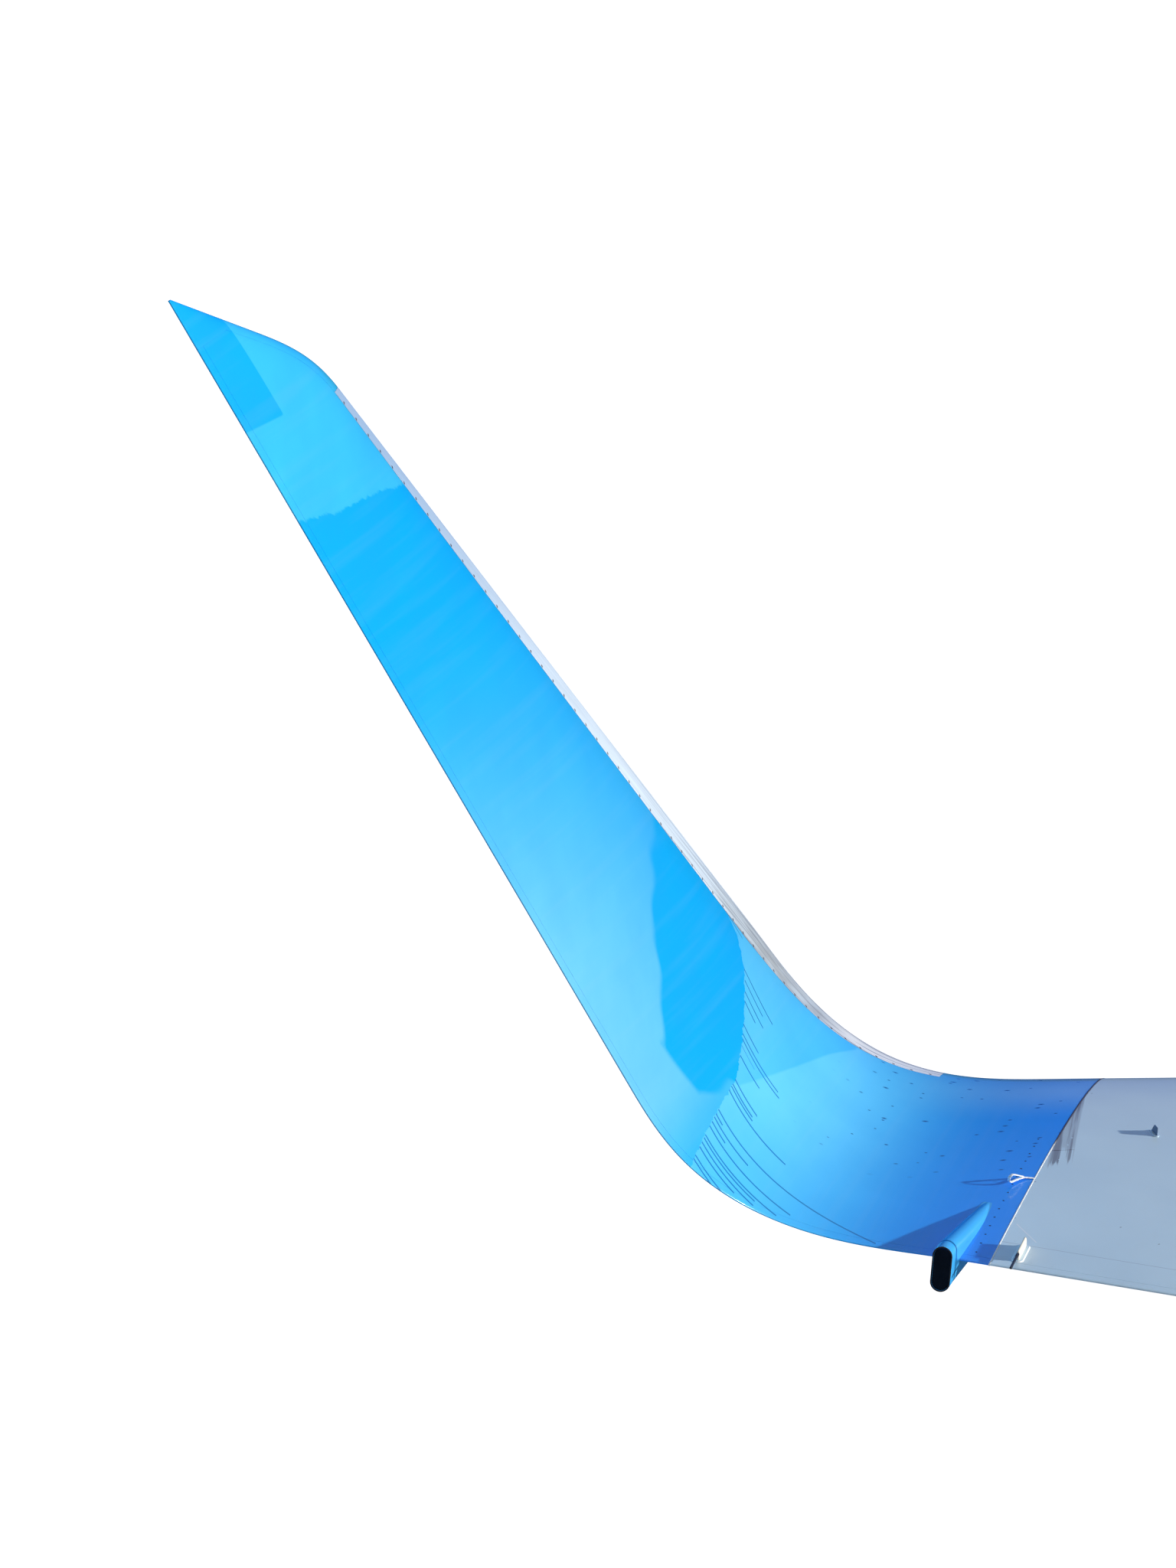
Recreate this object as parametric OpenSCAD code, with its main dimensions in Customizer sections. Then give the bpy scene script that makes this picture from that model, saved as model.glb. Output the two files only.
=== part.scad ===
// Blended winglet of an airliner, with the end of the wing that carries it.
// +X points forward, +Y outboard and +Z up; the origin is the centre of the bolt pattern on the
// inboard rib. Places along the bent span are distances s from the joint, negative on the wing.

/* [Planform] */
// Chord at the joint between wing and winglet
joint_chord = 1363; // [1250:1:1500]
// Chord at the tip if the straight edges ran on to the end
taper_chord = 456; // [380:1:540]
// Chord left at the point of the tip
point_chord = 12; // [8:1:40]
// Length from the joint to the tip along the bent span
span_len = 3080; // [2900:1:3300]
// Sweep of the wing's leading edge
wing_sweep = 28.2; // [22:0.1:33]
// Sweep of the winglet's leading edge on the unrolled span
blade_sweep = 49.1; // [44:0.1:53]
// Forward sweep of the wing's trailing edge
wing_te_sweep = 1.25; // [0:0.05:4]
// Distance from the joint at which the leading edge starts to rake back
le_rake_start = 457; // [380:1:540]
// Length over which the leading edge rakes back
le_rake_len = 571; // [480:1:660]
// Distance from the joint at which the trailing edge starts to rake back
te_rake_start = 14; // [0:1:80]
// Length over which the trailing edge rakes back
te_rake_len = 686; // [560:1:800]
// Distance from the tip at which the leading edge rounds over into the tip
tip_round_from = 400; // [360:1:480]
// Length over which the leading edge rounds over
tip_round_len = 240; // [180:1:300]

/* [Bend] */
// Lean of the winglet outboard from the vertical
lean = 18.6; // [5:0.1:30]
// Distance from the joint at which the bend starts
bend_start = 117; // [100:1:160]
// Length of the bend along the span
bend_len = 842; // [700:1:1000]

/* [Section] */
// Thickness of the section at the joint, percent of chord
wing_section = 10; // [8:0.1:12]
// Thickness of the section at the tip, percent of chord
tip_section = 8; // [6.5:0.1:10]
// Thickness of the blunt trailing edge
te_t = 4; // [2:0.5:6]
// Thickness of the skins
skin_t = 4; // [2.5:0.5:6]
// Thickness of the leading edge sheet
nose_t = 2.5; // [1.5:0.5:4]
// Width of the solid trailing edge strip
te_strip_w = 28; // [20:1:40]
// Length of the solid cap at the tip
cap_len = 120; // [90:1:150]

/* [Bare leading edge strip] */
// Distance from the joint to the strip's lower end
strip_start = 350; // [300:1:420]
// Distance from the tip to the strip's upper end
strip_short = 374; // [340:1:420]
// Width of the nose sheet from the joint to the strip's lower end
strip_root_w = 125; // [100:1:150]
// Distance from the joint to the strip's widest place
strip_mid_at = 1000; // [800:1:1200]
// Width of the strip at its widest place
strip_mid_w = 175; // [140:1:190]
// Width of the strip at its upper end
strip_end_w = 72; // [60:1:85]

/* [Wing end] */
// Length of the wing end, from the inboard rib to the joint
stub_len = 500; // [420:1:650]
// Distance from the leading edge back to the centre of the mount
mount_back = 720; // [660:1:780]
// Bolt spacing of the mount along the chord
mount_x = 440; // [380:1:480]
// Bolt spacing of the mount in height
mount_z = 60; // [48:1:70]
// Diameter of the mount's bolt holes
mount_d = 13; // [10:0.5:16]

/* [Spars and ribs] */
// Front spar behind the leading edge at the wing's inboard rib
front_spar_in = 400; // [370:1:430]
// Front spar behind the leading edge at the joint
front_spar_root = 330; // [300:1:360]
// Front spar behind the leading edge at the strip's upper end
front_spar_tip = 150; // [140:1:170]
// Rear spar behind the leading edge at the wing's inboard rib
rear_spar_in = 1040; // [1000:1:1100]
// Rear spar behind the leading edge at the joint
rear_spar_root = 860; // [800:1:920]
// Rear spar behind the leading edge at the strip's upper end
rear_spar_tip = 370; // [340:1:400]
// Thickness of the spar webs
web_t = 5; // [3:0.5:8]
// Width of the spar flanges
flange_w = 35; // [25:1:42]
// Thickness of the spar flanges
flange_t = 4; // [2.5:0.5:5]
// Thickness of the ribs between the spars
rib_t = 4; // [3:0.5:6]
// Thickness of the joint ribs and of the inboard rib
joint_rib_t = 8; // [6:0.5:10]
// Width of the rim left round the ribs' lightening holes
rib_rim = 16; // [12:1:22]
// Distance from the trailing edge at which the full ribs end
rib_tail = 90; // [70:1:120]

/* [Joint] */
// Width of the seam between the wing's skins and the winglet's
seam_w = 4; // [3:0.5:6]
// Height by which the sealant bead stands proud of the skins
bead_proud = 0.6; // [0.3:0.1:1]
// Diameter of the joint bolts
bolt_d = 10; // [8:0.5:12]
// Height of the bolts' heads
bolt_head_h = 6.5; // [5:0.5:8]
// Height of the nuts
nut_h = 8; // [6:0.5:10]
// Bolt spacing of the joint in height
bolt_z = 56; // [46:1:64]
// Distance of the outer bolts from the spars
bolt_edge = 45; // [35:1:70]

/* [Aft light] */
// Distance of the light's centre line outboard of the joint
light_out = 91.5; // [80:0.5:100]
// Width of the light
light_w = 45; // [36:1:50]
// Height of the light
light_h = 105; // [90:1:115]
// Length of the fairing ahead of the trailing edge
light_front = 320; // [280:1:360]
// Distance by which the fairing's nose stands inboard of its aft end
light_toe = 22; // [0:1:28]
// Length of the light behind the trailing edge
light_aft = 80; // [70:1:95]
// Length of the lens retainer
bezel_len = 44; // [36:1:52]
// Wall of the lens retainer
bezel_t = 3.5; // [2.5:0.5:5]
// Thickness of the lens
lens_t = 6; // [4:0.5:9]
// Depth of the lens face inside the retainer's rim
lens_set = 1.5; // [1:0.5:4]
// Thickness of the gasket in front of the retainer
gasket_t = 1.5; // [1:0.5:3]
// Thickness of the lamp's carrier plate
carrier_t = 4; // [3:0.5:6]
// Diameter of the two lamps
lamp_d = 22; // [16:1:26]
// Length of the two lamps
lamp_len = 14; // [8:1:18]

/* [Static discharger] */
// Distance of the discharger inboard of the joint
wick_in = 55; // [45:1:75]
// Distance of the base's aft end ahead of the trailing edge
wick_base_aft = 30; // [20:1:45]
// Length of the base
wick_base_len = 92; // [75:1:110]
// Width of the base's foot
wick_foot_w = 22; // [18:1:28]
// Height of the foot above the skin
wick_foot_h = 2.5; // [2:0.5:4]
// Width of the upright body on the foot
wick_body_w = 8; // [6:0.5:11]
// Height of the body above the skin
wick_body_h = 24; // [18:1:30]
// Diameter of the rod
wick_rod_d = 6; // [4:0.5:7]
// Length of the rod behind the body
wick_rod_len = 70; // [50:1:90]

/* [Flow vane] */
// Distance of the vane inboard of the joint
vane_in = 200; // [160:1:260]
// Distance of the vane behind the leading edge
vane_back = 610; // [540:1:680]
// Length of the vane
vane_len = 40; // [32:1:50]
// Height of the vane above the skin
vane_h = 21; // [16:1:30]
// Thickness of the vane
vane_t = 2.5; // [2:0.5:4]
// Angle of the vane to the air stream
vane_turn = 29; // [0:1:40]
// Width of the vane's foot
vane_foot_w = 12; // [9:1:20]
// Thickness of the vane's foot
vane_foot_h = 2; // [1.5:0.5:3]

/* [Peeled sealant] */
// Distance behind the leading edge at which the peeled strip leaves the seam
peel_back = 880; // [700:1:960]
// Length of the peeled strip
peel_len = 74; // [60:1:90]
// Width of the peeled strip
peel_w = 6; // [4:0.5:8]
// Thickness of the peeled strip
peel_t = 1.5; // [1:0.5:2.5]
// Height to which the strip curls up
peel_lift = 16; // [8:1:24]

/* [Clearances] */
// Gap between neighbouring skin panels
panel_gap = 0.6; // [0.3:0.1:0.9]
// Bond line between spars and skins
bond_gap = 0.7; // [0.6:0.1:0.9]
// Gap between ribs and skins, and between ribs and spars
rib_gap = 0.5; // [0.4:0.1:0.8]
// Gap between flat or turned pieces that seat on each other
seat_gap = 0.2; // [0.1:0.05:0.4]

/* [Hidden] */
$fn = 48;

paint_blue = "#16b2fa";
paint_grey = "#9bb0c6";
bare_metal = "#c6cdd4";
primer = "#a9b48a";
sealant = "#e8e6dc";

// Steps of the lofts along the span in the root bay, in each rib bay, in the tip bay and in the cap
root_steps = 6;
bay_steps = [8, 8, 2, 1, 1, 1, 2];
tip_steps = 6;
cap_steps = 4;
rib_count = len(bay_steps) + 1;
// Steps across the skins, closer together towards the front, and round half of the nose
skin_steps = 10;
skin_crowd = 1.5;
nose_steps = 8;
// Steps of the sum that follows the bend
path_steps = 48;
// Half of the gap left between the skins where they come together at the trailing edge
core_half = 0.3;
// Largest share of the chord that the nose sheet may take near the tip
split_max = 0.3;
// Length by which a cutting shape runs past the face it cuts
overcut = 1;
// Depth to which a piece on the skin is drawn below it before its foot is cut to the skin
foot_sink = 4;

wing_slope = tan(wing_sweep);
blade_slope = tan(blade_sweep);
wing_te_slope = -tan(wing_te_sweep);
joint_le = mount_back - stub_len * wing_slope;
joint_te = joint_le - joint_chord;
strip_stop = span_len - strip_short;
cap_start = span_len - cap_len;
rib_pitch = (strip_stop - strip_start) / (rib_count - 1);

// Smooth step from 0 to 1, and its running sum, which goes on at slope 1
function clamp01(t) = min(1, max(0, t));
function smooth(t) = let (c = clamp01(t)) c * c * (3 - 2 * c);
function smooth_sum(t) = let (c = clamp01(t)) c * c * c - c * c * c * c / 2 + max(t - 1, 0);
function eased(s, start, length) = length * smooth_sum((s - start) / length);
function mix(a, b, t) = a + (b - a) * t;
function spread(a, b, steps) = [for (i = [0:steps]) mix(a, b, i / steps)];
function tail(list) = [for (i = [1:len(list) - 1]) list[i]];
function reversed(list) = [for (i = [len(list) - 1:-1:0]) list[i]];

// Leading and trailing edge: straight runs joined by eased changes of slope
function straight_le(s) =
    joint_le - wing_slope * s - (blade_slope - wing_slope) * eased(s, le_rake_start, le_rake_len);
te_gain = (joint_te - wing_te_slope * span_len - straight_le(span_len) + taper_chord)
    / eased(span_len, te_rake_start, te_rake_len);
tip_gain = (taper_chord - point_chord) / eased(span_len, span_len - tip_round_from, tip_round_len);
function le_x(s) = straight_le(s) - tip_gain * eased(s, span_len - tip_round_from, tip_round_len);
function te_x(s) = joint_te - wing_te_slope * s - te_gain * eased(s, te_rake_start, te_rake_len);

// Path of the bent span: the turn eases from flat to the lean, and the path sums its direction
full_turn = 90 - lean;
function turn(s) = full_turn * smooth((s - bend_start) / bend_len);
function path(s) =
    let (run = bend_len * clamp01((s - bend_start) / bend_len), step = run / path_steps)
    let (angles = [for (k = [0:path_steps - 1]) turn(bend_start + (k + 0.5) * step)])
    let (ones = [for (a = angles) 1], rest = max(0, s - bend_start - bend_len))
    [stub_len + min(s, bend_start) + step * (ones * [for (a = angles) cos(a)]) + rest * cos(full_turn),
     step * (ones * [for (a = angles) sin(a)]) + rest * sin(full_turn)];

// One section of the loft: leading edge, chord, path place, turn, thickness ratio and span place
LE = 0;
CHORD = 1;
PATH = 2;
TURN = 3;
RATIO = 4;
SPAN = 5;
function section(s) =
    [le_x(s), le_x(s) - te_x(s), path(s), turn(s),
     lookup(s, [[0, wing_section], [span_len, tip_section]]) / 100, s];

// Half thickness at chord share u: the four-digit thickness law and a blunt trailing edge
function half(f, u) =
    5 * f[RATIO] * f[CHORD]
    * (0.2969 * sqrt(u) - 0.1260 * u - 0.3516 * u * u + 0.2843 * pow(u, 3) - 0.1036 * pow(u, 4))
    + te_t / 2 * u;
// Point of a section at chord share u and height h above the section's middle
function at(f, u, h) =
    [f[LE] - u * f[CHORD], f[PATH][0] - sin(f[TURN]) * h, f[PATH][1] + cos(f[TURN]) * h];

// Chord share at which the nose sheet meets the skins, and at which the trailing edge strip starts
nose_widths = [[0, strip_root_w], [strip_start, strip_root_w], [strip_mid_at, strip_mid_w],
    [strip_stop, strip_end_w], [span_len, strip_end_w]];
function nose_share(f) = min(lookup(f[SPAN], nose_widths) / f[CHORD], split_max);
function strip_share(f) = 1 - te_strip_w / f[CHORD];
function gap_share(f) = panel_gap / 2 / f[CHORD];

// Skin rows: chord shares of the skin's points, and the faceted inner face by linear steps
function skin_shares(f) =
    let (first = nose_share(f) + gap_share(f), last = strip_share(f) - gap_share(f))
    [for (j = [0:skin_steps]) mix(first, last, pow(j / skin_steps, skin_crowd))];
function inner_of(f, u) = max(half(f, u) - skin_t, core_half);
function inner_half(f, u) = lookup(u, [for (v = skin_shares(f)) [v, inner_of(f, v)]]);
function skin_row(f, side, inner) =
    [for (u = skin_shares(f)) at(f, u, side * (inner ? inner_of(f, u) : half(f, u)))];

// Nose row from the lower edge round the nose to the upper edge, at a depth under the outer face
function nose_row(f, depth) =
    let (edge = nose_share(f) - gap_share(f), first = depth / f[CHORD])
    let (shrink = (half(f, edge) - depth) / half(f, edge))
    [for (j = [-nose_steps:nose_steps])
        let (v = j / nose_steps)
        at(f, mix(first, edge, v * v), sign(v) * shrink * half(f, edge * v * v))];

// Span places of the loft's sections
function rib_at(k) = strip_start + k * rib_pitch;
root_spans = spread(seam_w / 2, strip_start, root_steps);
strip_spans = concat([strip_start],
    [for (k = [0:rib_count - 2]) each tail(spread(rib_at(k), rib_at(k + 1), bay_steps[k]))]);
tip_spans = spread(strip_stop, cap_start - panel_gap / 2, tip_steps);
blade_spans = concat(root_spans, tail(strip_spans), tail(tip_spans));
wing_spans = [-stub_len, -seam_w / 2];
function sections(spans) = [for (s = spans) section(s)];
// The same span places with the first and the last drawn in by a gap
function drawn_in(spans, first, last) =
    [for (i = [0:len(spans) - 1])
        spans[i] + (i == 0 ? first : 0) - (i == len(spans) - 1 ? last : 0)];

// Two triangles for the corners of a four-sided patch
function quad(a, b, c, d) = [[a, b, c], [a, c, d]];

// Closed solid between an upper and a lower grid of points, rows along the span
module slab(upper, lower) {
    rows = len(upper);
    cols = len(upper[0]);
    function top(i, j) = i * cols + j;
    function low(i, j) = rows * cols + i * cols + j;
    e = cols - 1;
    z = rows - 1;
    polyhedron([for (row = concat(upper, lower)) each row], concat(
        [for (i = [0:z - 1]) for (j = [0:e - 1])
            each quad(top(i, j), top(i, j + 1), top(i + 1, j + 1), top(i + 1, j))],
        [for (i = [0:z - 1]) for (j = [0:e - 1])
            each quad(low(i, j), low(i + 1, j), low(i + 1, j + 1), low(i, j + 1))],
        [for (i = [0:z - 1]) each quad(top(i, 0), top(i + 1, 0), low(i + 1, 0), low(i, 0))],
        [for (i = [0:z - 1]) each quad(top(i + 1, e), top(i, e), low(i, e), low(i + 1, e))],
        [for (j = [0:e - 1]) each quad(top(0, j + 1), top(0, j), low(0, j), low(0, j + 1))],
        [for (j = [0:e - 1]) each quad(top(z, j), top(z, j + 1), low(z, j + 1), low(z, j))]));
}

// Faces between rings of n points, each ring and the next, the first again after the last ring
function ring_faces(n, rings, steps) =
    [for (i = [0:steps - 1]) for (k = [0:n - 1])
        let (a = i * n, b = (i + 1) % rings * n, next = (k + 1) % n)
        each quad(a + k, a + next, b + next, b + k)];

// Closed solid through rings of points; end_quads split the end faces, or one face closes each end
module ring_loft(rings, end_quads = []) {
    n = len(rings[0]);
    z = len(rings) - 1;
    whole = [[for (k = [0:n - 1]) k]];
    ends = len(end_quads) == 0 ? whole : end_quads;
    polyhedron([for (ring = rings) each ring], concat(
        ring_faces(n, z + 1, z),
        [for (face = ends) reversed(face)],
        [for (face = ends) [for (k = face) z * n + k]]));
}

// Skin panel on one side: 1 is the upper and inboard side, -1 the lower and outboard side
module skin(spans, side) {
    fs = sections(spans);
    outer = [for (f = fs) skin_row(f, side, false)];
    inner = [for (f = fs) skin_row(f, side, true)];
    if (side > 0) slab(outer, inner);
    if (side < 0) slab(inner, outer);
}

module nose(spans) {
    fs = sections(spans);
    slab([for (f = fs) nose_row(f, 0)], [for (f = fs) nose_row(f, nose_t)]);
}

module edge_strip(spans) {
    fs = sections(spans);
    function row(f, side) =
        [for (u = [strip_share(f) + gap_share(f), 1]) at(f, u, side * half(f, u))];
    slab([for (f = fs) row(f, 1)], [for (f = fs) row(f, -1)]);
}

module inboard_skin() {
    color(paint_blue) skin(blade_spans, 1);
}

module outboard_skin() {
    color(paint_blue) skin(blade_spans, -1);
}

module root_nose() {
    color(paint_blue) nose(drawn_in(root_spans, 0, panel_gap / 2));
}

module leading_edge() {
    color(bare_metal) nose(drawn_in(strip_spans, panel_gap / 2, panel_gap / 2));
}

module tip_nose() {
    color(paint_blue) nose(drawn_in(tip_spans, panel_gap / 2, 0));
}

module trailing_edge_strip() {
    color(paint_blue) edge_strip(blade_spans);
}

// Whole outline of a section, from the nose over the upper side to the lower side and back
module tip_cap() {
    fs = sections(spread(cap_start + panel_gap / 2, span_len, cap_steps));
    shares = [for (j = [0:skin_steps]) pow(j / skin_steps, 2)];
    function ring(f) = concat(
        [for (u = shares) at(f, u, half(f, u))],
        [for (u = reversed(tail(shares))) at(f, u, -half(f, u))]);
    color(paint_blue) ring_loft([for (f = fs) ring(f)]);
}

// Channel spars: the web stands between the skins and the flanges point away from the ribs
front_spar_line = [[-stub_len, front_spar_in], [0, front_spar_root], [strip_stop, front_spar_tip],
    [span_len, front_spar_tip]];
rear_spar_line = [[-stub_len, rear_spar_in], [0, rear_spar_root], [strip_stop, rear_spar_tip],
    [span_len, rear_spar_tip]];
function front_web(f) = lookup(f[SPAN], front_spar_line) / f[CHORD];
function rear_web(f) = lookup(f[SPAN], rear_spar_line) / f[CHORD];

module channel_spar(spans, line, way) {
    function ring(f) =
        let (back = lookup(f[SPAN], line), web = back / f[CHORD])
        let (web_in = (back + way * web_t) / f[CHORD], tip = (back + way * flange_w) / f[CHORD])
        let (h_web = inner_half(f, web) - bond_gap, h_in = inner_half(f, web_in) - bond_gap - flange_t)
        let (h_tip = inner_half(f, tip) - bond_gap)
        let (loop = [[web, h_web], [tip, h_tip], [tip, h_tip - flange_t], [web_in, h_in],
            [web_in, -h_in], [tip, flange_t - h_tip], [tip, -h_tip], [web, -h_web]])
        [for (k = [0:7]) let (p = loop[way > 0 ? k : 7 - k]) at(f, p[0], p[1])];
    ends = [[0, 1, 2, 3], [7, 0, 3, 4], [4, 5, 6, 7]];
    ring_loft([for (f = sections(spans)) ring(f)], ends);
}

spar_spans = concat([joint_rib_t + seat_gap], tail(root_spans), tail(strip_spans), [tip_spans[1]]);
wing_spar_spans = [-stub_len + joint_rib_t + seat_gap, -joint_rib_t - seat_gap];

module front_spar() {
    color(primer) channel_spar(spar_spans, front_spar_line, -1);
}

module rear_spar() {
    color(primer) channel_spar(spar_spans, rear_spar_line, 1);
}

module wing_front_spar() {
    color(primer) channel_spar(wing_spar_spans, front_spar_line, -1);
}

module wing_rear_spar() {
    color(primer) channel_spar(wing_spar_spans, rear_spar_line, 1);
}

// Plate in the plane of a section, centred on it, from an outline of distance behind the origin
module plate(f, thickness) {
    translate([0, f[PATH][0], f[PATH][1]])
        rotate([90 + f[TURN], 0, 0])
            linear_extrude(thickness, center = true) children();
}

// Slope of a spar line across a plate's thickness, which sets how far the plate stays from the web
function lean_of(line, s) =
    abs((le_x(s + 1) - lookup(s + 1, line)) - (le_x(s - 1) - lookup(s - 1, line))) / 2;

// Rib between the spars, with round lightening holes where the rim leaves room for them
hole_count = 3;
hole_least = 8;
module rib(k) {
    f = section(rib_at(k));
    front = front_web(f) + (rib_t / 2 * lean_of(front_spar_line, f[SPAN]) + rib_gap) / f[CHORD];
    rear = rear_web(f) - (rib_t / 2 * lean_of(rear_spar_line, f[SPAN]) + rib_gap) / f[CHORD];
    inside = [for (u = skin_shares(f)) if (u > front && u < rear) u];
    shares = concat([front], inside, [rear]);
    function edge(u, side) = [f[LE] - u * f[CHORD], side * (inner_half(f, u) - rib_gap)];
    color(primer) plate(f, rib_t) difference() {
        polygon(concat([for (u = shares) edge(u, 1)], [for (u = reversed(shares)) edge(u, -1)]));
        for (i = [0:hole_count - 1]) {
            u = mix(front, rear, (i + 0.5) / hole_count);
            room = (rear - front) * f[CHORD] / hole_count / 2 - rib_rim / 2;
            r = min(edge(u, 1)[1] - rib_rim, room);
            if (r > hole_least) translate([edge(u, 1)[0], 0]) circle(r);
        }
    }
}

// Full rib inside the skins and the nose; the nose end clears the swept sheet over its thickness
module full_rib(s) {
    f = section(s);
    first = (nose_t + rib_gap + joint_rib_t / 2 * wing_slope) / f[CHORD];
    edge = nose_share(f) - gap_share(f);
    shrink = (half(f, edge) - max(nose_t, skin_t) - 2 * rib_gap) / half(f, edge);
    last = 1 - rib_tail / f[CHORD];
    skin_part = [for (u = skin_shares(f)) if (u < last) u];
    function nose_point(v) = [mix(first, edge, v * v), shrink * half(f, edge * v * v)];
    outline = concat([for (j = [1:nose_steps]) nose_point(j / nose_steps)],
        [for (u = concat(skin_part, [last])) [u, inner_half(f, u) - rib_gap]]);
    function point(p, side) = [f[LE] - p[0] * f[CHORD], side * p[1]];
    plate(f, joint_rib_t) difference() {
        polygon(concat([for (p = outline) point(p, 1)], [for (p = reversed(outline)) point(p, -1)]));
        children();
    }
}

// Two rows of joint bolts between the spars
bolt_columns = 4;
bolt_first = joint_le - front_spar_root - bolt_edge;
bolt_last = joint_le - rear_spar_root + bolt_edge;
module at_joint_bolts() {
    for (x = spread(bolt_first, bolt_last, bolt_columns - 1))
        for (z = [-bolt_z / 2, bolt_z / 2])
            translate([x, z]) children();
}

// Round cut-outs between the bolts, for access to the spar box
access_rim = 30;
module joint_cutouts() {
    for (i = [0:bolt_columns - 2]) {
        x = mix(bolt_first, bolt_last, (i + 0.5) / (bolt_columns - 1));
        room = (bolt_first - bolt_last) / (bolt_columns - 1) / 2;
        translate([x, 0]) circle(min(room, bolt_z / 2 + bolt_d) - access_rim / 2);
    }
}

joint_rib_mid = joint_rib_t / 2 + seat_gap / 2;
bolt_hole_d = bolt_d + 2 * seat_gap;

module root_rib() {
    color(primer) full_rib(joint_rib_mid) {
        at_joint_bolts() circle(d = bolt_hole_d);
        joint_cutouts();
    }
}

module wing_joint_rib() {
    color(primer) full_rib(-joint_rib_mid) {
        at_joint_bolts() circle(d = bolt_hole_d);
        joint_cutouts();
    }
}

// Inboard rib: a plain closing plate that carries the four bolt holes of the mount round the origin
module wing_inboard_rib() {
    color(primer) full_rib(-stub_len + joint_rib_t / 2)
        for (x = [-mount_x / 2, mount_x / 2])
            for (z = [-mount_z / 2, mount_z / 2])
                translate([x, z]) circle(d = mount_d);
}

// A place on the joint plane, with the drawing's height along +Z and its depth towards -Y
module on_joint() {
    translate([0, stub_len, 0]) rotate([90, 0, 0]) children();
}

rib_face = joint_rib_t + seat_gap / 2;
// Width across the flats of heads and nuts, and length of the bolt's end past its nut
nut_ratio = 1.6;
nut_af = nut_ratio * bolt_d;
bolt_end = 4;
module joint_bolts() {
    shank = 2 * rib_face + seat_gap * 2 + nut_h + bolt_end;
    color("silver") on_joint() at_joint_bolts() {
        translate([0, 0, rib_face + seat_gap - shank]) cylinder(d = bolt_d, h = shank);
        translate([0, 0, rib_face + seat_gap]) cylinder(d = nut_af, h = bolt_head_h, $fn = 6);
    }
}

module joint_nuts() {
    color("silver") on_joint() at_joint_bolts()
        translate([0, 0, -rib_face - seat_gap - nut_h]) difference() {
            cylinder(d = nut_af, h = nut_h, $fn = 6);
            translate([0, 0, -overcut]) cylinder(d = bolt_hole_d, h = nut_h + 2 * overcut);
        }
}

module wing_upper_skin() {
    color(paint_grey) skin(wing_spans, 1);
}

module wing_lower_skin() {
    color(paint_grey) skin(wing_spans, -1);
}

module wing_nose() {
    color(paint_grey) nose(wing_spans);
}

module wing_trailing_edge() {
    color(paint_grey) edge_strip(wing_spans);
}

// Sealant bead: a ring that fills the seam all round the section and stands a little proud
module joint_seal() {
    out = seam_w / 2 - seat_gap;
    deep = nose_t - seat_gap;
    function side_row(f, side, depth) =
        [for (u = skin_shares(f)) at(f, u, side * max(half(f, u) - depth, core_half))];
    function edge_point(f, side, depth) =
        at(f, 1 - depth / f[CHORD], side * max(half(f, 1) - depth, core_half));
    function row(f, depth) = concat(
        nose_row(f, depth), side_row(f, 1, depth), [edge_point(f, 1, depth), edge_point(f, -1, depth)],
        reversed(side_row(f, -1, depth)));
    rings = [row(section(-out), -bead_proud), row(section(out), -bead_proud),
        row(section(out), deep), row(section(-out), deep)];
    count = len(rings);
    color(sealant) polyhedron([for (ring = rings) each ring], ring_faces(len(rings[0]), count, count));
}

// Strip of old sealant that has come out of the seam: it lies on the skin and curls up at its end
peel_steps = 8;
peel_aft = 0.78;
module peeled_sealant() {
    f = section(0);
    function ring(t) =
        let (run = peel_len * t, x = joint_le - peel_back - peel_aft * run)
        let (z = half(f, (joint_le - x) / joint_chord) + bead_proud + seat_gap + peel_lift * t * t)
        let (y = stub_len + seam_w / 2 + run * sqrt(1 - peel_aft * peel_aft) + seat_gap)
        [[x + peel_w / 2, y, z + peel_t], [x - peel_w / 2, y, z + peel_t],
         [x - peel_w / 2, y, z], [x + peel_w / 2, y, z]];
    color(sealant) ring_loft([for (t = spread(0, 1, peel_steps)) ring(t)]);
}

// Body of the wing and winglet near the trailing edge, grown by a gap, to seat pieces on the skins
body_first = 0.3;
body_last = 0.95;
body_steps = 13;
module wing_body(from, to, grow) {
    shares = spread(body_first, body_last, body_steps);
    fs = sections([from, (from + to) / 2, to]);
    function row(f, side) = concat(
        [for (u = shares) at(f, u, side * (half(f, u) + grow))],
        [at(f, 1 + grow / f[CHORD], side * (half(f, 1) + grow))]);
    slab([for (f = fs) row(f, 1)], [for (f = fs) row(f, -1)]);
}

// Aft light: a fairing in two halves over the trailing edge, with the lens held at its aft end
light_f = section(light_out);
light_te = te_x(light_out);
light_end = light_te - light_aft;
fairing_end = light_end + bezel_len + gasket_t + 2 * seat_gap;
fairing_steps = 9;
fairing_arc = 12;
// Share of the fairing's length over which its nose widens, and the share at which the nose is cut off
fairing_nose = 0.6;
fairing_tip = 0.03;
lamp_pocket = carrier_t + lamp_len;

// Upright oblong outline in the light's aft face, drawn in by a margin
module oblong(inset) {
    r = light_w / 2 - inset;
    reach = light_h / 2 - light_w / 2;
    translate([-reach, 0]) circle(r);
    translate([reach, 0]) circle(r);
    square([2 * reach, 2 * r], center = true);
}

// Oblong plate with its aft face at x and its thickness forward
module oblong_plate(x, thickness, inset) {
    translate([x, stub_len + light_out, 0]) rotate([0, 90, 0]) linear_extrude(thickness) oblong(inset);
}

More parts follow.
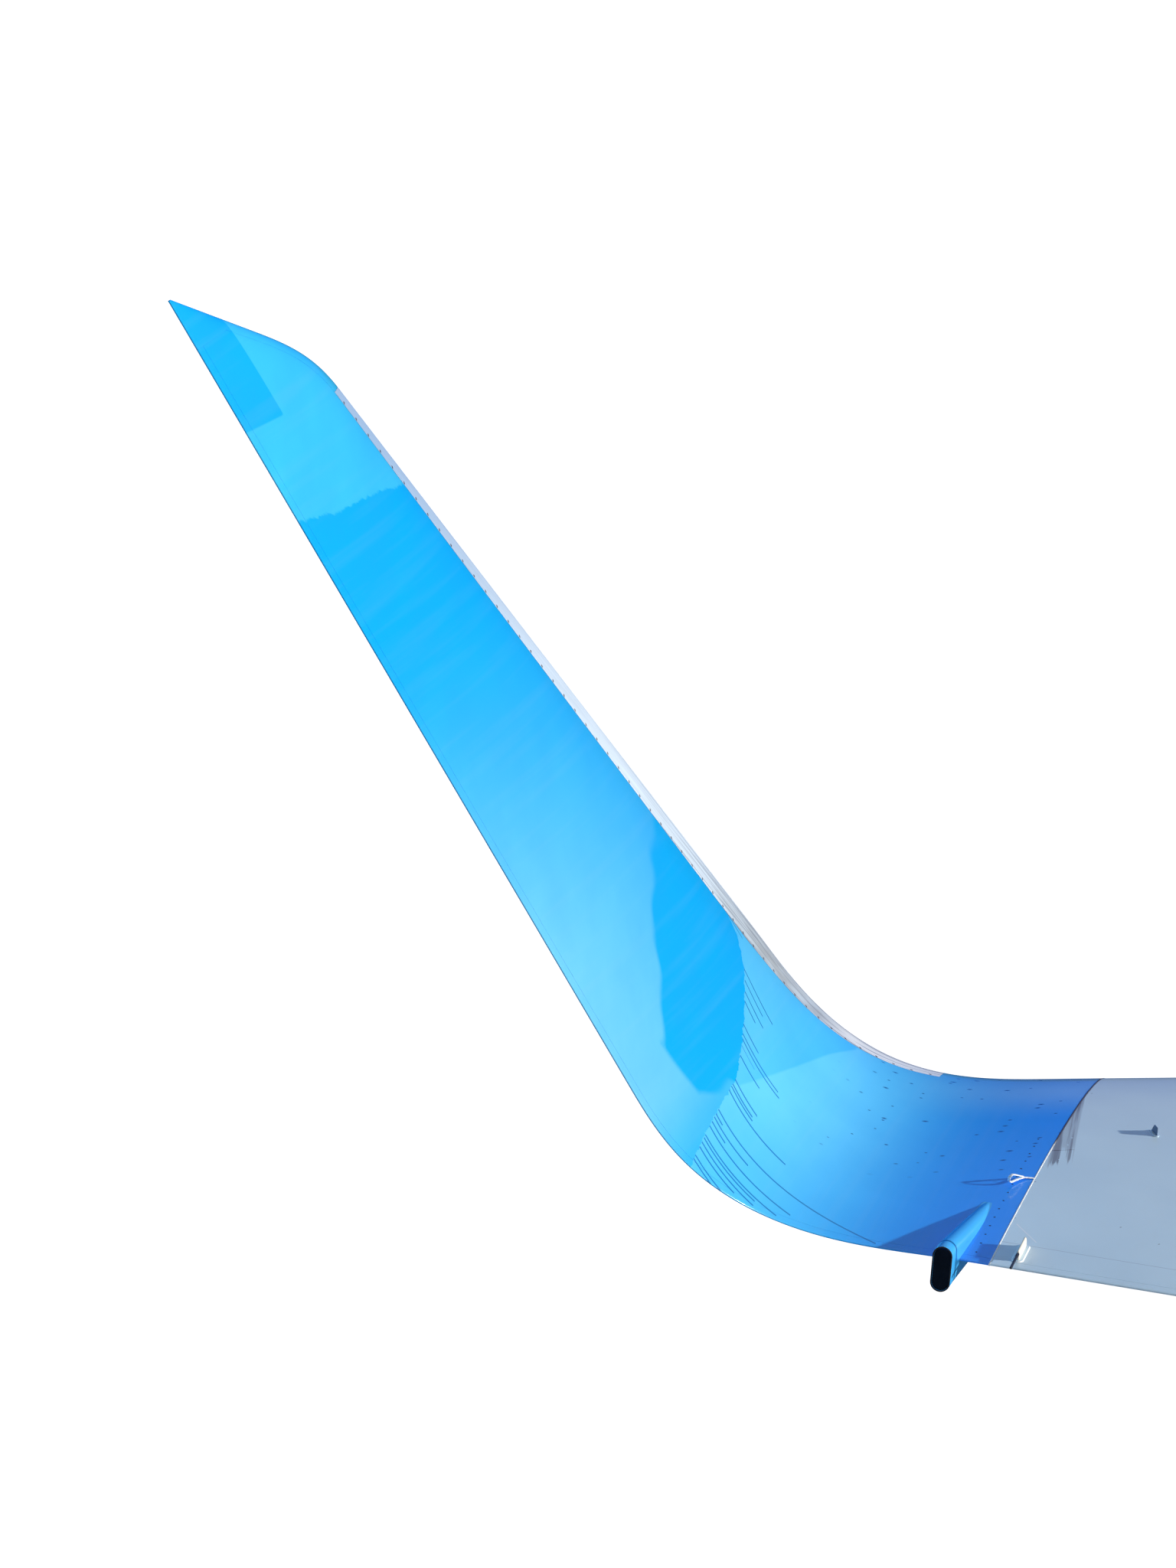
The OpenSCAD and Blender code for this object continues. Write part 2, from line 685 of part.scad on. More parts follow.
module light_half() {
    nose_x = light_te + light_front;
    sunk = half(light_f, (light_f[LE] - nose_x) / light_f[CHORD]) - seat_gap;
    function ring(t) =
        let (round = min(1, (t + fairing_tip) / fairing_nose))
        let (w = light_w / 2 * sqrt(1 - (1 - round) * (1 - round)), h = mix(sunk, light_h / 2, t))
        let (x = mix(nose_x, fairing_end, t), y = stub_len + light_out - light_toe * (1 - t))
        concat([[x, y + w, seat_gap / 2]],
            [for (a = spread(0, 180, fairing_arc)) [x, y + w * cos(a), h - w + w * sin(a)]],
            [[x, y - w, seat_gap / 2]]);
    difference() {
        ring_loft([for (t = spread(0, 1, fairing_steps)) ring(t)]);
        wing_body(light_out - light_w - light_toe, light_out + light_w, rib_gap);
        oblong_plate(fairing_end - overcut, lamp_pocket + overcut, bezel_t + 2 * seat_gap);
    }
}

module light_upper_fairing() {
    color(paint_blue) light_half();
}

module light_lower_fairing() {
    color(paint_blue) mirror([0, 0, 1]) light_half();
}

gasket_inset = 0.5;
module light_gasket() {
    aft = fairing_end - seat_gap - gasket_t;
    color("#202326") difference() {
        oblong_plate(aft, gasket_t, gasket_inset);
        oblong_plate(aft - overcut, gasket_t + 2 * overcut, bezel_t);
    }
}

module light_retainer() {
    color(paint_blue) difference() {
        oblong_plate(light_end, bezel_len, 0);
        oblong_plate(light_end - overcut, bezel_len + 2 * overcut, bezel_t);
    }
}

module light_lens() {
    color("#14161c") oblong_plate(light_end + lens_set, lens_t, bezel_t + seat_gap);
}

// Carrier plate across the fairing's pocket, with the two lamps on its aft face
carrier_x = fairing_end + lamp_pocket - carrier_t - seat_gap;
module light_carrier() {
    color("#d7d9d4") oblong_plate(carrier_x, carrier_t, bezel_t + 3 * seat_gap);
}

module light_lamps() {
    reach = light_h / 2 - light_w / 2;
    color("#e8edf2") for (z = [-reach, reach])
        translate([carrier_x - seat_gap - lamp_len, stub_len + light_out, z])
            rotate([0, 90, 0]) cylinder(d = lamp_d, h = lamp_len);
}

// Static discharger: an oblong foot with an upright body, and a rod that leaves the body aft
wick_y = stub_len - wick_in;
wick_f = section(-wick_in);
wick_aft_x = te_x(-wick_in) + wick_base_aft;
wick_mid_x = wick_aft_x + wick_base_len / 2;
wick_aft_z = half(wick_f, 1 - wick_base_aft / wick_f[CHORD]);
wick_front_z = half(wick_f, 1 - (wick_base_aft + wick_base_len) / wick_f[CHORD]);
wick_pitch = atan2(wick_front_z - wick_aft_z, wick_base_len);

// Frame on the skin at the middle of the base, tilted with the skin
module on_wick() {
    translate([wick_mid_x, wick_y, (wick_aft_z + wick_front_z) / 2]) rotate([0, -wick_pitch, 0]) children();
}

module slot_shape(length, width) {
    translate([-length / 2 + width / 2, 0]) circle(d = width);
    translate([length / 2 - width / 2, 0]) circle(d = width);
    square([length - width, width], center = true);
}

rod_hole_len = 40;
rod_z = wick_body_h - wick_body_w / 2 - wick_rod_d / 2;
module wick_rod(d, length) {
    on_wick() translate([-wick_base_len / 2 + rod_hole_len - length, 0, rod_z])
        rotate([0, 90, 0]) cylinder(d = d, h = length);
}

module discharger_base() {
    color("#e9e3d0") difference() {
        on_wick() translate([0, 0, -foot_sink]) {
            linear_extrude(foot_sink + wick_foot_h) slot_shape(wick_base_len, wick_foot_w);
            linear_extrude(foot_sink + wick_body_h)
                slot_shape(wick_base_len - wick_foot_w / 2, wick_body_w);
        }
        wing_body(-wick_in - wick_foot_w, -wick_in + wick_foot_w, seat_gap);
        wick_rod(wick_rod_d + 2 * seat_gap, rod_hole_len + wick_base_len);
    }
}

module discharger_rod() {
    color("#1b1c1f") wick_rod(wick_rod_d, rod_hole_len - seat_gap + wick_rod_len);
}

// Flow vane: a thin raked fin on a flat foot
vane_f = section(-vane_in);
vane_share = vane_back / vane_f[CHORD];
vane_rake = 0.45;
module flow_vane() {
    color("#8fa6bf") difference() {
        translate([vane_f[LE] - vane_back, stub_len - vane_in, half(vane_f, vane_share)])
            rotate([0, 0, vane_turn]) {
                translate([0, 0, -foot_sink]) linear_extrude(foot_sink + vane_foot_h)
                    slot_shape(vane_len + vane_foot_w / 2, vane_foot_w);
                rotate([90, 0, 0]) linear_extrude(vane_t, center = true)
                    polygon([[-vane_len / 2, -foot_sink], [vane_len / 2, -foot_sink],
                        [vane_len / 2 - vane_rake * vane_len, vane_h], [-vane_len / 2, vane_h]]);
            }
        wing_body(-vane_in - vane_len, -vane_in + vane_len, seat_gap);
    }
}

inboard_skin();
outboard_skin();
root_nose();
leading_edge();
tip_nose();
tip_cap();
trailing_edge_strip();
front_spar();
rear_spar();
root_rib();
rib(0);  // rib_1
rib(1);  // rib_2
rib(2);  // rib_3
rib(3);  // rib_4
rib(4);  // rib_5
rib(5);  // rib_6
rib(6);  // rib_7
rib(7);  // rib_8
wing_upper_skin();
wing_lower_skin();
wing_nose();
wing_trailing_edge();
wing_front_spar();
wing_rear_spar();
wing_joint_rib();
wing_inboard_rib();
joint_bolts();
joint_nuts();
joint_seal();
peeled_sealant();
light_upper_fairing();
light_lower_fairing();
light_gasket();
light_retainer();
light_lens();
light_carrier();
light_lamps();
discharger_base();
discharger_rod();
flow_vane();
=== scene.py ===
import bpy
import numpy as np
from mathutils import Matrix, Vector


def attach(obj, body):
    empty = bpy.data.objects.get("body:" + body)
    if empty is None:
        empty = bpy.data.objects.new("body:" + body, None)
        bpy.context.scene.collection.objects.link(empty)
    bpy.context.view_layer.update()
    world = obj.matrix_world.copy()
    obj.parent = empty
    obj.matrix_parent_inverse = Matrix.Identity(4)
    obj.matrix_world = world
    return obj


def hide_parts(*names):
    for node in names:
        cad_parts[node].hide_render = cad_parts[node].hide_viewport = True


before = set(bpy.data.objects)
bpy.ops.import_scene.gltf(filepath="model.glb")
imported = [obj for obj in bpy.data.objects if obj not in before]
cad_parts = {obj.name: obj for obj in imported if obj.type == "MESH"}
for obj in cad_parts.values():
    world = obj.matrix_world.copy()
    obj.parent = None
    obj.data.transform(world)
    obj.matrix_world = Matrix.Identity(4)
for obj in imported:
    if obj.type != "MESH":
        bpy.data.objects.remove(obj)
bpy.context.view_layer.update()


# WING END SKINS
# The last half metre of the wing: two aluminium skins in grey paint, screwed to the spars and ribs.
# Lengths are in metres; s runs along the bent span from the joint, u is the share of the chord.
span_len = 3.08
stub_len = 0.5
mount_back = 0.72
joint_chord = 1.363
point_chord = 0.012
wing_sweep, blade_sweep, te_sweep = np.radians((28.2, 49.1, 1.25))
le_rake_start, le_rake_len = 0.457, 0.571
te_rake_start, te_rake_len = 0.014, 0.686
tip_round_start, tip_round_len, tip_round_drop = span_len - 0.4, 0.24, 0.444
bend, bend_start, bend_len = np.radians(71.4), 0.117, 0.842
wing_section, tip_section = 0.10, 0.08
te_t = 0.004
strip_from, strip_mid, strip_to = 0.35, 1.0, 2.706
strip_widths = (0.125, 0.175, 0.072)
seam = 0.002
gap = 0.0003
skin_t = 0.004
te_strip = 0.028


def smooth(t):
    """Smooth step c^2 (3 - 2 c), with c = t held between 0 and 1."""
    c = np.clip(t, 0, 1)
    return c * c * (3 - 2 * c)


def eased(s, start, length):
    """Running sum of the smooth step: length (c^3 - c^4 / 2), then on at slope 1."""
    t = (s - start) / length
    c = np.clip(t, 0, 1)
    return length * (c**3 - c**4 / 2 + np.maximum(t - 1, 0))


def leading(s):
    """Leading edge x: slope tan of the wing's sweep, eased to the blade's, then rounded over at the tip."""
    slope, rake = np.tan((wing_sweep, blade_sweep))
    straight = mount_back - slope * (stub_len + s) - (rake - slope) * eased(s, le_rake_start, le_rake_len)
    round_over = tip_round_drop / eased(span_len, tip_round_start, tip_round_len)
    return straight - round_over * eased(s, tip_round_start, tip_round_len)


def trailing(s):
    """Trailing edge x: straight along the wing, eased back until the chord at the tip is a blunt point."""
    root = leading(0.0) - joint_chord
    slope = np.tan(te_sweep)
    drop = root + slope * span_len - leading(span_len) + point_chord
    pull = drop / eased(span_len, te_rake_start, te_rake_len)
    return root + slope * s - pull * eased(s, te_rake_start, te_rake_len)


def chord(s):
    """Leading edge less trailing edge."""
    return leading(s) - trailing(s)


def half(s, u):
    """Half thickness: four-digit law, 10 % of the chord at the joint, 8 % at the tip, 4 mm rear edge."""
    ratio = np.interp(s, (0, span_len), (wing_section, tip_section))
    law = 0.2969 * np.sqrt(u) - 0.1260 * u - 0.3516 * u**2 + 0.2843 * u**3 - 0.1036 * u**4
    return 5 * ratio * chord(s) * law + te_t / 2 * u


def at(s, u, h):
    """Point (x, y, z) at height h off the middle surface.
    The surface turns by a smooth step along s; y and z are running sums of the turn's cos and sin."""
    step, first, last = 0.001, -0.6, 3.2
    run = np.linspace(first, last, 3801)
    turn = bend * smooth((run - bend_start) / bend_len)
    mean = (turn[1:] + turn[:-1]) / 2
    y = np.append(0, np.cumsum(np.cos(mean))) * step + stub_len + first
    z = np.append(0, np.cumsum(np.sin(mean))) * step
    here = np.interp(s, run, turn)
    y_here = np.interp(s, run, y) - np.sin(here) * h
    z_here = np.interp(s, run, z) + np.cos(here) * h
    return np.stack(np.broadcast_arrays(leading(s) - u * chord(s), y_here, z_here), -1)


def plan(s, u):
    """Attribute (s, distance behind the leading edge, distance ahead of the trailing edge)."""
    return np.stack(np.broadcast_arrays(s, u * chord(s), (1 - u) * chord(s)), -1)


def nose_share(s):
    """Chord share where the nose sheet meets the skins: interpolated width over the chord, at most 0.3."""
    width = np.interp(s, (strip_from, strip_mid, strip_to), strip_widths)
    return np.minimum(width / chord(s), 0.3)


def linear(code):
    """Linear colour of an sRGB hex code: ((c + 0.055) / 1.055)^2.4, or c / 12.92 where dark; alpha 1."""
    c = np.array([int(code[k:k + 2], 16) for k in (1, 3, 5)]) / 255
    return (*np.where(c > 0.04045, ((c + 0.055) / 1.055) ** 2.4, c / 12.92).tolist(), 1.0)


def add(tree_owner, kind, sockets=None, **settings):
    """One shader node; each socket takes a value or another node's output. Gives the node's outputs."""
    n = tree_owner.node_tree.nodes.new("ShaderNode" + kind)
    for key, value in settings.items():
        setattr(n, key, value)
    for key, value in (sockets or {}).items():
        if isinstance(value, bpy.types.NodeSocket):
            tree_owner.node_tree.links.new(value, n.inputs[key])
        else:
            n.inputs[key].default_value = value
    return n.outputs


def new_finish(name):
    """New material, and the sockets of its Principled BSDF."""
    material = bpy.data.materials.new(name)
    material.use_nodes = True
    return material, material.node_tree.nodes["Principled BSDF"].inputs


def solid(name, rings, material, loop=False, sharp=35, **fields):
    """Closed mesh through rings[..., ring, point, xyz]; the ends are closed by strips, or the rings loop.
    Faces are turned so that the volume, the sum of a . (b x c) / 6, is positive."""
    rings = np.asarray(rings, float)
    copies = rings.reshape(-1, *rings.shape[-3:])
    b, r, n = copies.shape[:3]
    i, k = np.meshgrid(np.arange(r if loop else r - 1), np.arange(n), indexing="ij")
    j, m = (i + 1) % r, (k + 1) % n
    faces = np.stack((i * n + k, i * n + m, j * n + m, j * n + k), -1).reshape(-1, 4)
    if not loop:
        k = np.arange((n - 1) // 2)
        cap = np.stack((k, n - 1 - k, n - 2 - k, k + 1), -1)
        faces = np.concatenate((faces, cap, cap[:, ::-1] + (r - 1) * n))
    p = copies[0].reshape(-1, 3)[faces]
    volume = (p[:, 0] * np.cross(p[:, 1], p[:, 2]) + p[:, 0] * np.cross(p[:, 2], p[:, 3])).sum()
    if volume < 0:
        faces = faces[:, ::-1]
    every = (faces + np.arange(b)[:, None, None] * r * n).reshape(-1, 4).tolist()
    every = [list(dict.fromkeys(f)) for f in every]
    mesh = bpy.data.meshes.new(name)
    mesh.from_pydata(copies.reshape(-1, 3).tolist(), [], every)
    for key, value in fields.items():
        data = np.broadcast_to(value, rings.shape).reshape(-1)
        mesh.attributes.new(key, "FLOAT_VECTOR", "POINT").data.foreach_set("vector", data)
    mesh.shade_smooth()
    mesh.set_sharp_from_angle(angle=np.radians(sharp))
    mesh.materials.append(material)
    piece = bpy.data.objects.new(name, mesh)
    bpy.context.scene.collection.objects.link(piece)
    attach(piece, "root")
    return piece


def skin_rings(spans, side, columns=72):
    """Rings (points, s, u) of a skin: out along the outer face and back along the inner face."""
    s = np.asarray(spans)[:, None]
    first = nose_share(s) + gap / chord(s)
    last = 1 - (te_strip + gap) / chord(s)
    u = first + (last - first) * np.linspace(0, 1, columns) ** 1.3
    outer = half(s, u)
    inner = np.maximum(outer - skin_t, 0.0003)
    both = np.concatenate((u, u[:, ::-1]), 1)
    return at(s, both, side * np.concatenate((outer, inner[:, ::-1]), 1)), s, both


# Polyurethane paint sprayed on aluminium sheet: a satin sheen over soft clouds of tone.
grey, shade = new_finish("grey_paint")
place = add(grey, "Attribute", attribute_name="plan")["Vector"]
s_here, back, fore = add(grey, "SeparateXYZ", {0: place})
solid_place = add(grey, "TexCoord")["Object"]
cloud = add(grey, "TexNoise", {"Vector": solid_place, "Scale": 1000 / 330, "Detail": 4.0})[0]
tone = add(grey, "MapRange", {"Value": cloud, "From Min": 0.3, "From Max": 0.7})[0]
paint = add(grey, "Mix", {0: tone, 6: linear("#c8dee9"), 7: linear("#d1e6f0")}, data_type="RGBA")[2]
# Grime: dark streaks along the air stream in a slanting band beside the joint, ragged at their rear ends,
# with one thin line across.
aslant = add(grey, "Math", {0: back, 1: 0.12, 2: s_here}, operation="MULTIPLY_ADD")[0]
flow = add(grey, "CombineXYZ", {0: aslant, 1: back})[0]
flow = add(grey, "Mapping", {"Vector": flow, "Scale": (1000 / 8, 1000 / 450, 0.0)})[0]
smear = add(grey, "TexNoise", {"Vector": flow, "Scale": 1.0, "Detail": 3.0})[0]
film = add(grey, "MapRange", {"Value": smear, "From Min": 0.47, "From Max": 0.6,
                              "To Min": 0.3, "To Max": 0.75})[0]
start = add(grey, "MapRange", {"Value": aslant, "From Min": 0.033, "From Max": 0.037},
            interpolation_type="SMOOTHSTEP")[0]
stop = add(grey, "MapRange", {"Value": aslant, "From Min": 0.090, "From Max": 0.074},
           interpolation_type="SMOOTHSTEP")[0]
length = add(grey, "MapRange", {"Value": smear, "From Min": 0.42, "From Max": 0.66,
                                "To Min": 0.70, "To Max": 0.84})[0]
end = add(grey, "Math", {0: length, 1: back}, operation="SUBTRACT")[0]
end = add(grey, "MapRange", {"Value": end, "From Min": -0.01, "From Max": 0.03},
          interpolation_type="SMOOTHSTEP")[0]
line = add(grey, "Math", {0: back, 1: 0.702, 2: 0.0022}, operation="COMPARE")[0]
film = add(grey, "Math", {0: film, 1: end}, operation="MULTIPLY")[0]
film = add(grey, "Math", {0: line, 1: 0.3, 2: film}, operation="MULTIPLY_ADD")[0]
grime = add(grey, "Math", {0: film, 1: start}, operation="MULTIPLY")[0]
grime = add(grey, "Math", {0: grime, 1: stop}, operation="MULTIPLY")[0]
paint = add(grey, "Mix", {0: grime, 6: paint, 7: linear("#5e4f40")}, data_type="RGBA")[2]
# One straight, bright scratch: a thin band across, 128 mm long, from its end near the joint.
scratch_end = (-0.014, 1.147, 0.0)
from_end = add(grey, "VectorMath", {0: place, 1: scratch_end}, operation="SUBTRACT")["Vector"]
across = add(grey, "VectorMath", {0: from_end, 1: (0.88, 0.475, 0.0)}, operation="DOT_PRODUCT")["Value"]
along = add(grey, "VectorMath", {0: from_end, 1: (-3.7, 6.86, 0.0)}, operation="DOT_PRODUCT")["Value"]
across = add(grey, "Math", {0: across}, operation="ABSOLUTE")[0]
along = add(grey, "Math", {0: along, 1: 0.5, 2: 0.5}, operation="COMPARE")[0]
scratch = add(grey, "MapRange", {"Value": across, "From Min": 0.0006, "From Max": 0.0014,
                                 "To Min": 0.9, "To Max": 0})[0]
scratch = add(grey, "Math", {0: scratch, 1: along}, operation="MULTIPLY")[0]
paint = add(grey, "Mix", {0: scratch, 6: paint, 7: linear("#eef3f6")}, data_type="RGBA")[2]
# A few dark specks, in one of seven cells 110 mm wide.
spots = add(grey, "TexVoronoi", {"Vector": place, "Scale": 1000 / 110}, voronoi_dimensions="2D")
chosen = add(grey, "SeparateXYZ", {0: spots["Color"]})[0]
chosen = add(grey, "Math", {0: chosen, 1: 0.86}, operation="GREATER_THAN")[0]
fleck = add(grey, "MapRange", {"Value": spots["Distance"], "From Min": 0.012, "From Max": 0.026,
                               "To Min": 0.7, "To Max": 0})[0]
fleck = add(grey, "Math", {0: fleck, 1: chosen}, operation="MULTIPLY")[0]
paint = add(grey, "Mix", {0: fleck, 6: paint, 7: linear("#5a6673")}, data_type="RGBA")[2]
# The line scribed ahead of the rear edge.
scribe_fore = 0.122
groove = add(grey, "Math", {0: fore, 1: scribe_fore}, operation="SUBTRACT")[0]
groove = add(grey, "Math", {0: groove}, operation="ABSOLUTE")[0]
groove = add(grey, "MapRange", {"Value": groove, "From Min": 0.0004, "From Max": 0.0016,
                                "To Min": 0.45, "To Max": 0})[0]
paint = add(grey, "Mix", {0: groove, 6: paint, 7: linear("#6d7f92")}, data_type="RGBA")[2]
# The sprayed paint's peel is drawn 4 mm wide, because the real 1 to 2 mm is too fine to show.
peel = add(grey, "TexNoise", {"Vector": solid_place, "Scale": 1000 / 4, "Detail": 1.0})[0]
rough = add(grey, "MapRange", {"Value": cloud, "To Min": 0.28, "To Max": 0.42})[0]
bump = add(grey, "Bump", {"Height": peel, "Strength": 0.05, "Distance": 0.0005})[0]
for key, value in (("Base Color", paint), ("Roughness", rough), ("Normal", bump)):
    grey.node_tree.links.new(value, shade[key])
shade["Coat Weight"].default_value = 0.2
shade["Coat Roughness"].default_value = 0.12

wing_spans = np.linspace(-stub_len, -seam, 50)
for name, side in (("wing_upper_skin", 1), ("wing_lower_skin", -1)):
    points, s, u = skin_rings(wing_spans, side)
    piece = solid("visual_" + name, points, grey, plan=plan(s, u) - (side < 0, 0, 0))
    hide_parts(name)


# WING NOSE AND TRAILING EDGE
# The wing's formed nose sheet and its solid trailing edge strip, in the same grey paint.
# The nose is screwed to the skins' front edges and the strip is bonded between their rear edges.
nose_t = 0.0025


def nose_rings(spans, steps=28):
    """Rings of a nose sheet: u = edge v^2 round the nose, then back at the sheet's thickness inside."""
    s = np.asarray(spans)[:, None]
    v = np.linspace(-1, 1, 2 * steps + 1)
    edge = nose_share(s) - gap / chord(s)
    rim = half(s, edge)
    u = edge * v**2
    u_in = nose_t / chord(s) + (edge - nose_t / chord(s)) * v**2
    h = np.sign(v) * half(s, u)
    h_in = h * (rim - nose_t) / rim
    both = np.concatenate((u, u_in[:, ::-1]), 1)
    return at(s, both, np.concatenate((h, h_in[:, ::-1]), 1)), s, both


def edge_rings(s, u):
    """Rings over the upper side through the shares u, round the rear edge of radius r and back below.
    Round the edge u = 1 - r (1 - sin a) / chord and h = r cos a."""
    r = half(s, 1.0)
    a = np.linspace(0, np.pi / 2, 6)[1:]
    h = np.concatenate((half(s, u), r * np.cos(a)), 1)
    u = np.concatenate((u, 1 - r * (1 - np.sin(a)) / chord(s)), 1)
    both = np.concatenate((u, u[:, -2::-1]), 1)
    return at(s, both, np.concatenate((h, -h[:, -2::-1]), 1)), s, both


def strip_rings(spans, columns=5):
    """Rings of the trailing edge strip, from its front corner to the rounded rear edge and back."""
    s = np.asarray(spans)[:, None]
    first = 1 - (te_strip - gap) / chord(s)
    last = 1 - half(s, 1.0) / chord(s)
    return edge_rings(s, first + (last - first) * np.linspace(0, 1, columns))


for name, rings in (("wing_nose", nose_rings), ("wing_trailing_edge", strip_rings)):
    points, s, u = rings(wing_spans)
    piece = solid("visual_" + name, points, grey, plan=plan(s, u))
    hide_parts(name)


# INNER STRUCTURE
# Spars, ribs and the closing rib that carries the mount's bolt holes: machined aluminium in primer.
# They are bonded and screwed inside the skins, so only the closing rib shows, at the inboard end.

# Yellow-green epoxy primer, sprayed thin: dull and dry, with a fine grain.
# The grain is drawn 2 mm wide, coarser than the real one, which is too fine to show.
primer, shade = new_finish("primer")
solid_place = add(primer, "TexCoord")["Object"]
cloud = add(primer, "TexNoise", {"Vector": solid_place, "Scale": 1000 / 110, "Detail": 5.0})[0]
grain = add(primer, "TexNoise", {"Vector": solid_place, "Scale": 1000 / 2, "Detail": 2.0})[0]
paint = add(primer, "Mix", {0: cloud, 6: linear("#98a878"), 7: linear("#b4be92")}, data_type="RGBA")[2]
rough = add(primer, "MapRange", {"Value": grain, "To Min": 0.5, "To Max": 0.75})[0]
bump = add(primer, "Bump", {"Height": grain, "Strength": 0.15, "Distance": 0.0005})[0]
for key, value in (("Base Color", paint), ("Roughness", rough), ("Normal", bump)):
    primer.node_tree.links.new(value, shade[key])

for name in ("front_spar", "rear_spar", "root_rib", "wing_front_spar", "wing_rear_spar", "wing_joint_rib",
             "wing_inboard_rib", *("rib_%d" % k for k in range(1, 9))):
    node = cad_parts[name]
    node.data.materials.clear()
    node.data.materials.append(primer)


# JOINT BOLTS AND NUTS
# Eight steel bolts with nuts that clamp the winglet's root rib to the wing's joint rib.
# Plated steel, hidden inside the skins.

# Cadmium-plated steel, dipped and passivated: pale, a little golden and mottled.
steel, shade = new_finish("bolt_steel")
solid_place = add(steel, "TexCoord")["Object"]
cloud = add(steel, "TexNoise", {"Vector": solid_place, "Scale": 1000 / 6, "Detail": 4.0})[0]
paint = add(steel, "Mix", {0: cloud, 6: linear("#a7a48f"), 7: linear("#c9c7b4")}, data_type="RGBA")[2]
rough = add(steel, "MapRange", {"Value": cloud, "To Min": 0.25, "To Max": 0.5})[0]
steel.node_tree.links.new(paint, shade["Base Color"])
steel.node_tree.links.new(rough, shade["Roughness"])
shade["Metallic"].default_value = 1.0

for name in ("joint_bolts", "joint_nuts"):
    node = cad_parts[name]
    node.data.materials.clear()
    node.data.materials.append(steel)


# WINGLET SKINS
# The two composite skins of the blade, bent through 71 degrees and swept back, in glossy blue paint.
# They are bonded to the spars; painted reflection pales the tip and rear edge, painted shade deepens the
# root.
cap_from = span_len - 0.12
cap_gap = 0.00005
past_bend = 1.1
bent_spans = np.linspace(seam, past_bend, 120)
blade_spans = np.append(bent_spans, np.linspace(past_bend, cap_from - cap_gap, 130)[1:])


def wedge_foot(u):
    """Span place of the dark wedge's lower edge, where the dark streaks start: straight between its corners.
    """
    return np.interp(u, (0.14, 0.18, 0.26, 0.35, 0.5, 0.61, 0.8, 1.0),
                     (1.10, 1.035, 0.962, 0.907, 0.823, 0.771, 0.74, 0.70))


def zones(s, u):
    """Attribute (distance above the tip's painted reflection line, inside its darker patch, inside the
    wedge).
    """
    tip_reflection = s - np.interp(u, (0.1, 0.35, 0.55, 0.72, 0.84, 1.0), (2.438, 2.470, 2.482, 2.490, 2.509, 2.521))
    patch = np.minimum(0.195 - (1 - u) * chord(s), s - (2.712 + 0.04 * u))
    high = np.interp(u, (0.13, 0.26, 0.39, 0.57, 0.64, 0.72, 0.78),
                     (1.43, 1.375, 1.315, 1.19, 1.125, 1.03, 0.965))
    low = np.interp(u, (0.6, 0.64, 0.7, 0.78), (0.5, 0.767, 0.781, 0.811))
    wedge = np.minimum(np.minimum(high - s, s - low), (0.785 - u) * chord(s))
    return np.stack(np.broadcast_arrays(tip_reflection, patch, wedge), -1)


def fade(s, u):
    """Attribute (painted pale reflection to the rear, distance behind the bare strip, below the painted
    sheen's upper line).
    """
    pale = (0.15 + 0.85 * u) * smooth((2.2 - s) / 1.0) * smooth((s - 0.62) / 0.3)
    rim = np.where((s > strip_from) & (s < strip_to), (u - nose_share(s)) * chord(s), 1.0)
    painted_sheen = np.interp(u, (0.14, 0.25, 0.4, 0.64, 0.66), (0.565, 0.615, 0.665, 0.750, 1.2)) - s
    return np.stack(np.broadcast_arrays(pale, rim, painted_sheen), -1)


def marks(s, u):
    """Attribute (number across the dark streaks, distance below the wedge's foot, chance of dirt spots)."""
    below = wedge_foot(u) - s
    number = 58 * (u - 0.5 * np.maximum(below, 0))
    dirt = smooth((0.62 - s) / 0.2) * smooth((0.75 - u) / 0.2)
    return np.stack(np.broadcast_arrays(number, below, dirt), -1)


# Polyurethane paint under a clear coat, sprayed on the composite: deep colour and a sharp gloss.
# Paler and darker zones in it are painted reflection and painted shade; it also carries dark streaks and
# spots of dirt.
blue, shade = new_finish("blue_paint")
place = add(blue, "Attribute", attribute_name="plan")["Vector"]
s_here, back, fore = add(blue, "SeparateXYZ", {0: place})
solid_place = add(blue, "TexCoord")["Object"]
parts = add(blue, "Attribute", attribute_name="zones")["Vector"]
tip_reflection, patch, wedge = add(blue, "SeparateXYZ", {0: parts})
parts = add(blue, "Attribute", attribute_name="fade")["Vector"]
pale_reflection, rim, painted_sheen = add(blue, "SeparateXYZ", {0: parts})
parts = add(blue, "Attribute", attribute_name="marks")["Vector"]
number, below, dirt = add(blue, "SeparateXYZ", {0: parts})
# Painted reflection: paler paint above a ragged line near the tip, less so in a patch by the rear edge.
ragged = add(blue, "TexNoise", {"Vector": place, "Scale": 1000 / 30, "Detail": 5.0})[0]
jag = add(blue, "MapRange", {"Value": ragged, "To Min": -0.014, "To Max": 0.014})[0]
tip_reflection = add(blue, "Math", {0: tip_reflection, 1: jag}, operation="ADD")[0]
tip_reflection = add(blue, "MapRange", {"Value": tip_reflection, "From Min": -0.003, "From Max": 0.003})[0]
patch = add(blue, "MapRange", {"Value": patch, "From Min": -0.002, "From Max": 0.002,
                               "To Min": 1, "To Max": 0.1})[0]
tip_reflection = add(blue, "Math", {0: tip_reflection, 1: patch}, operation="MULTIPLY")[0]
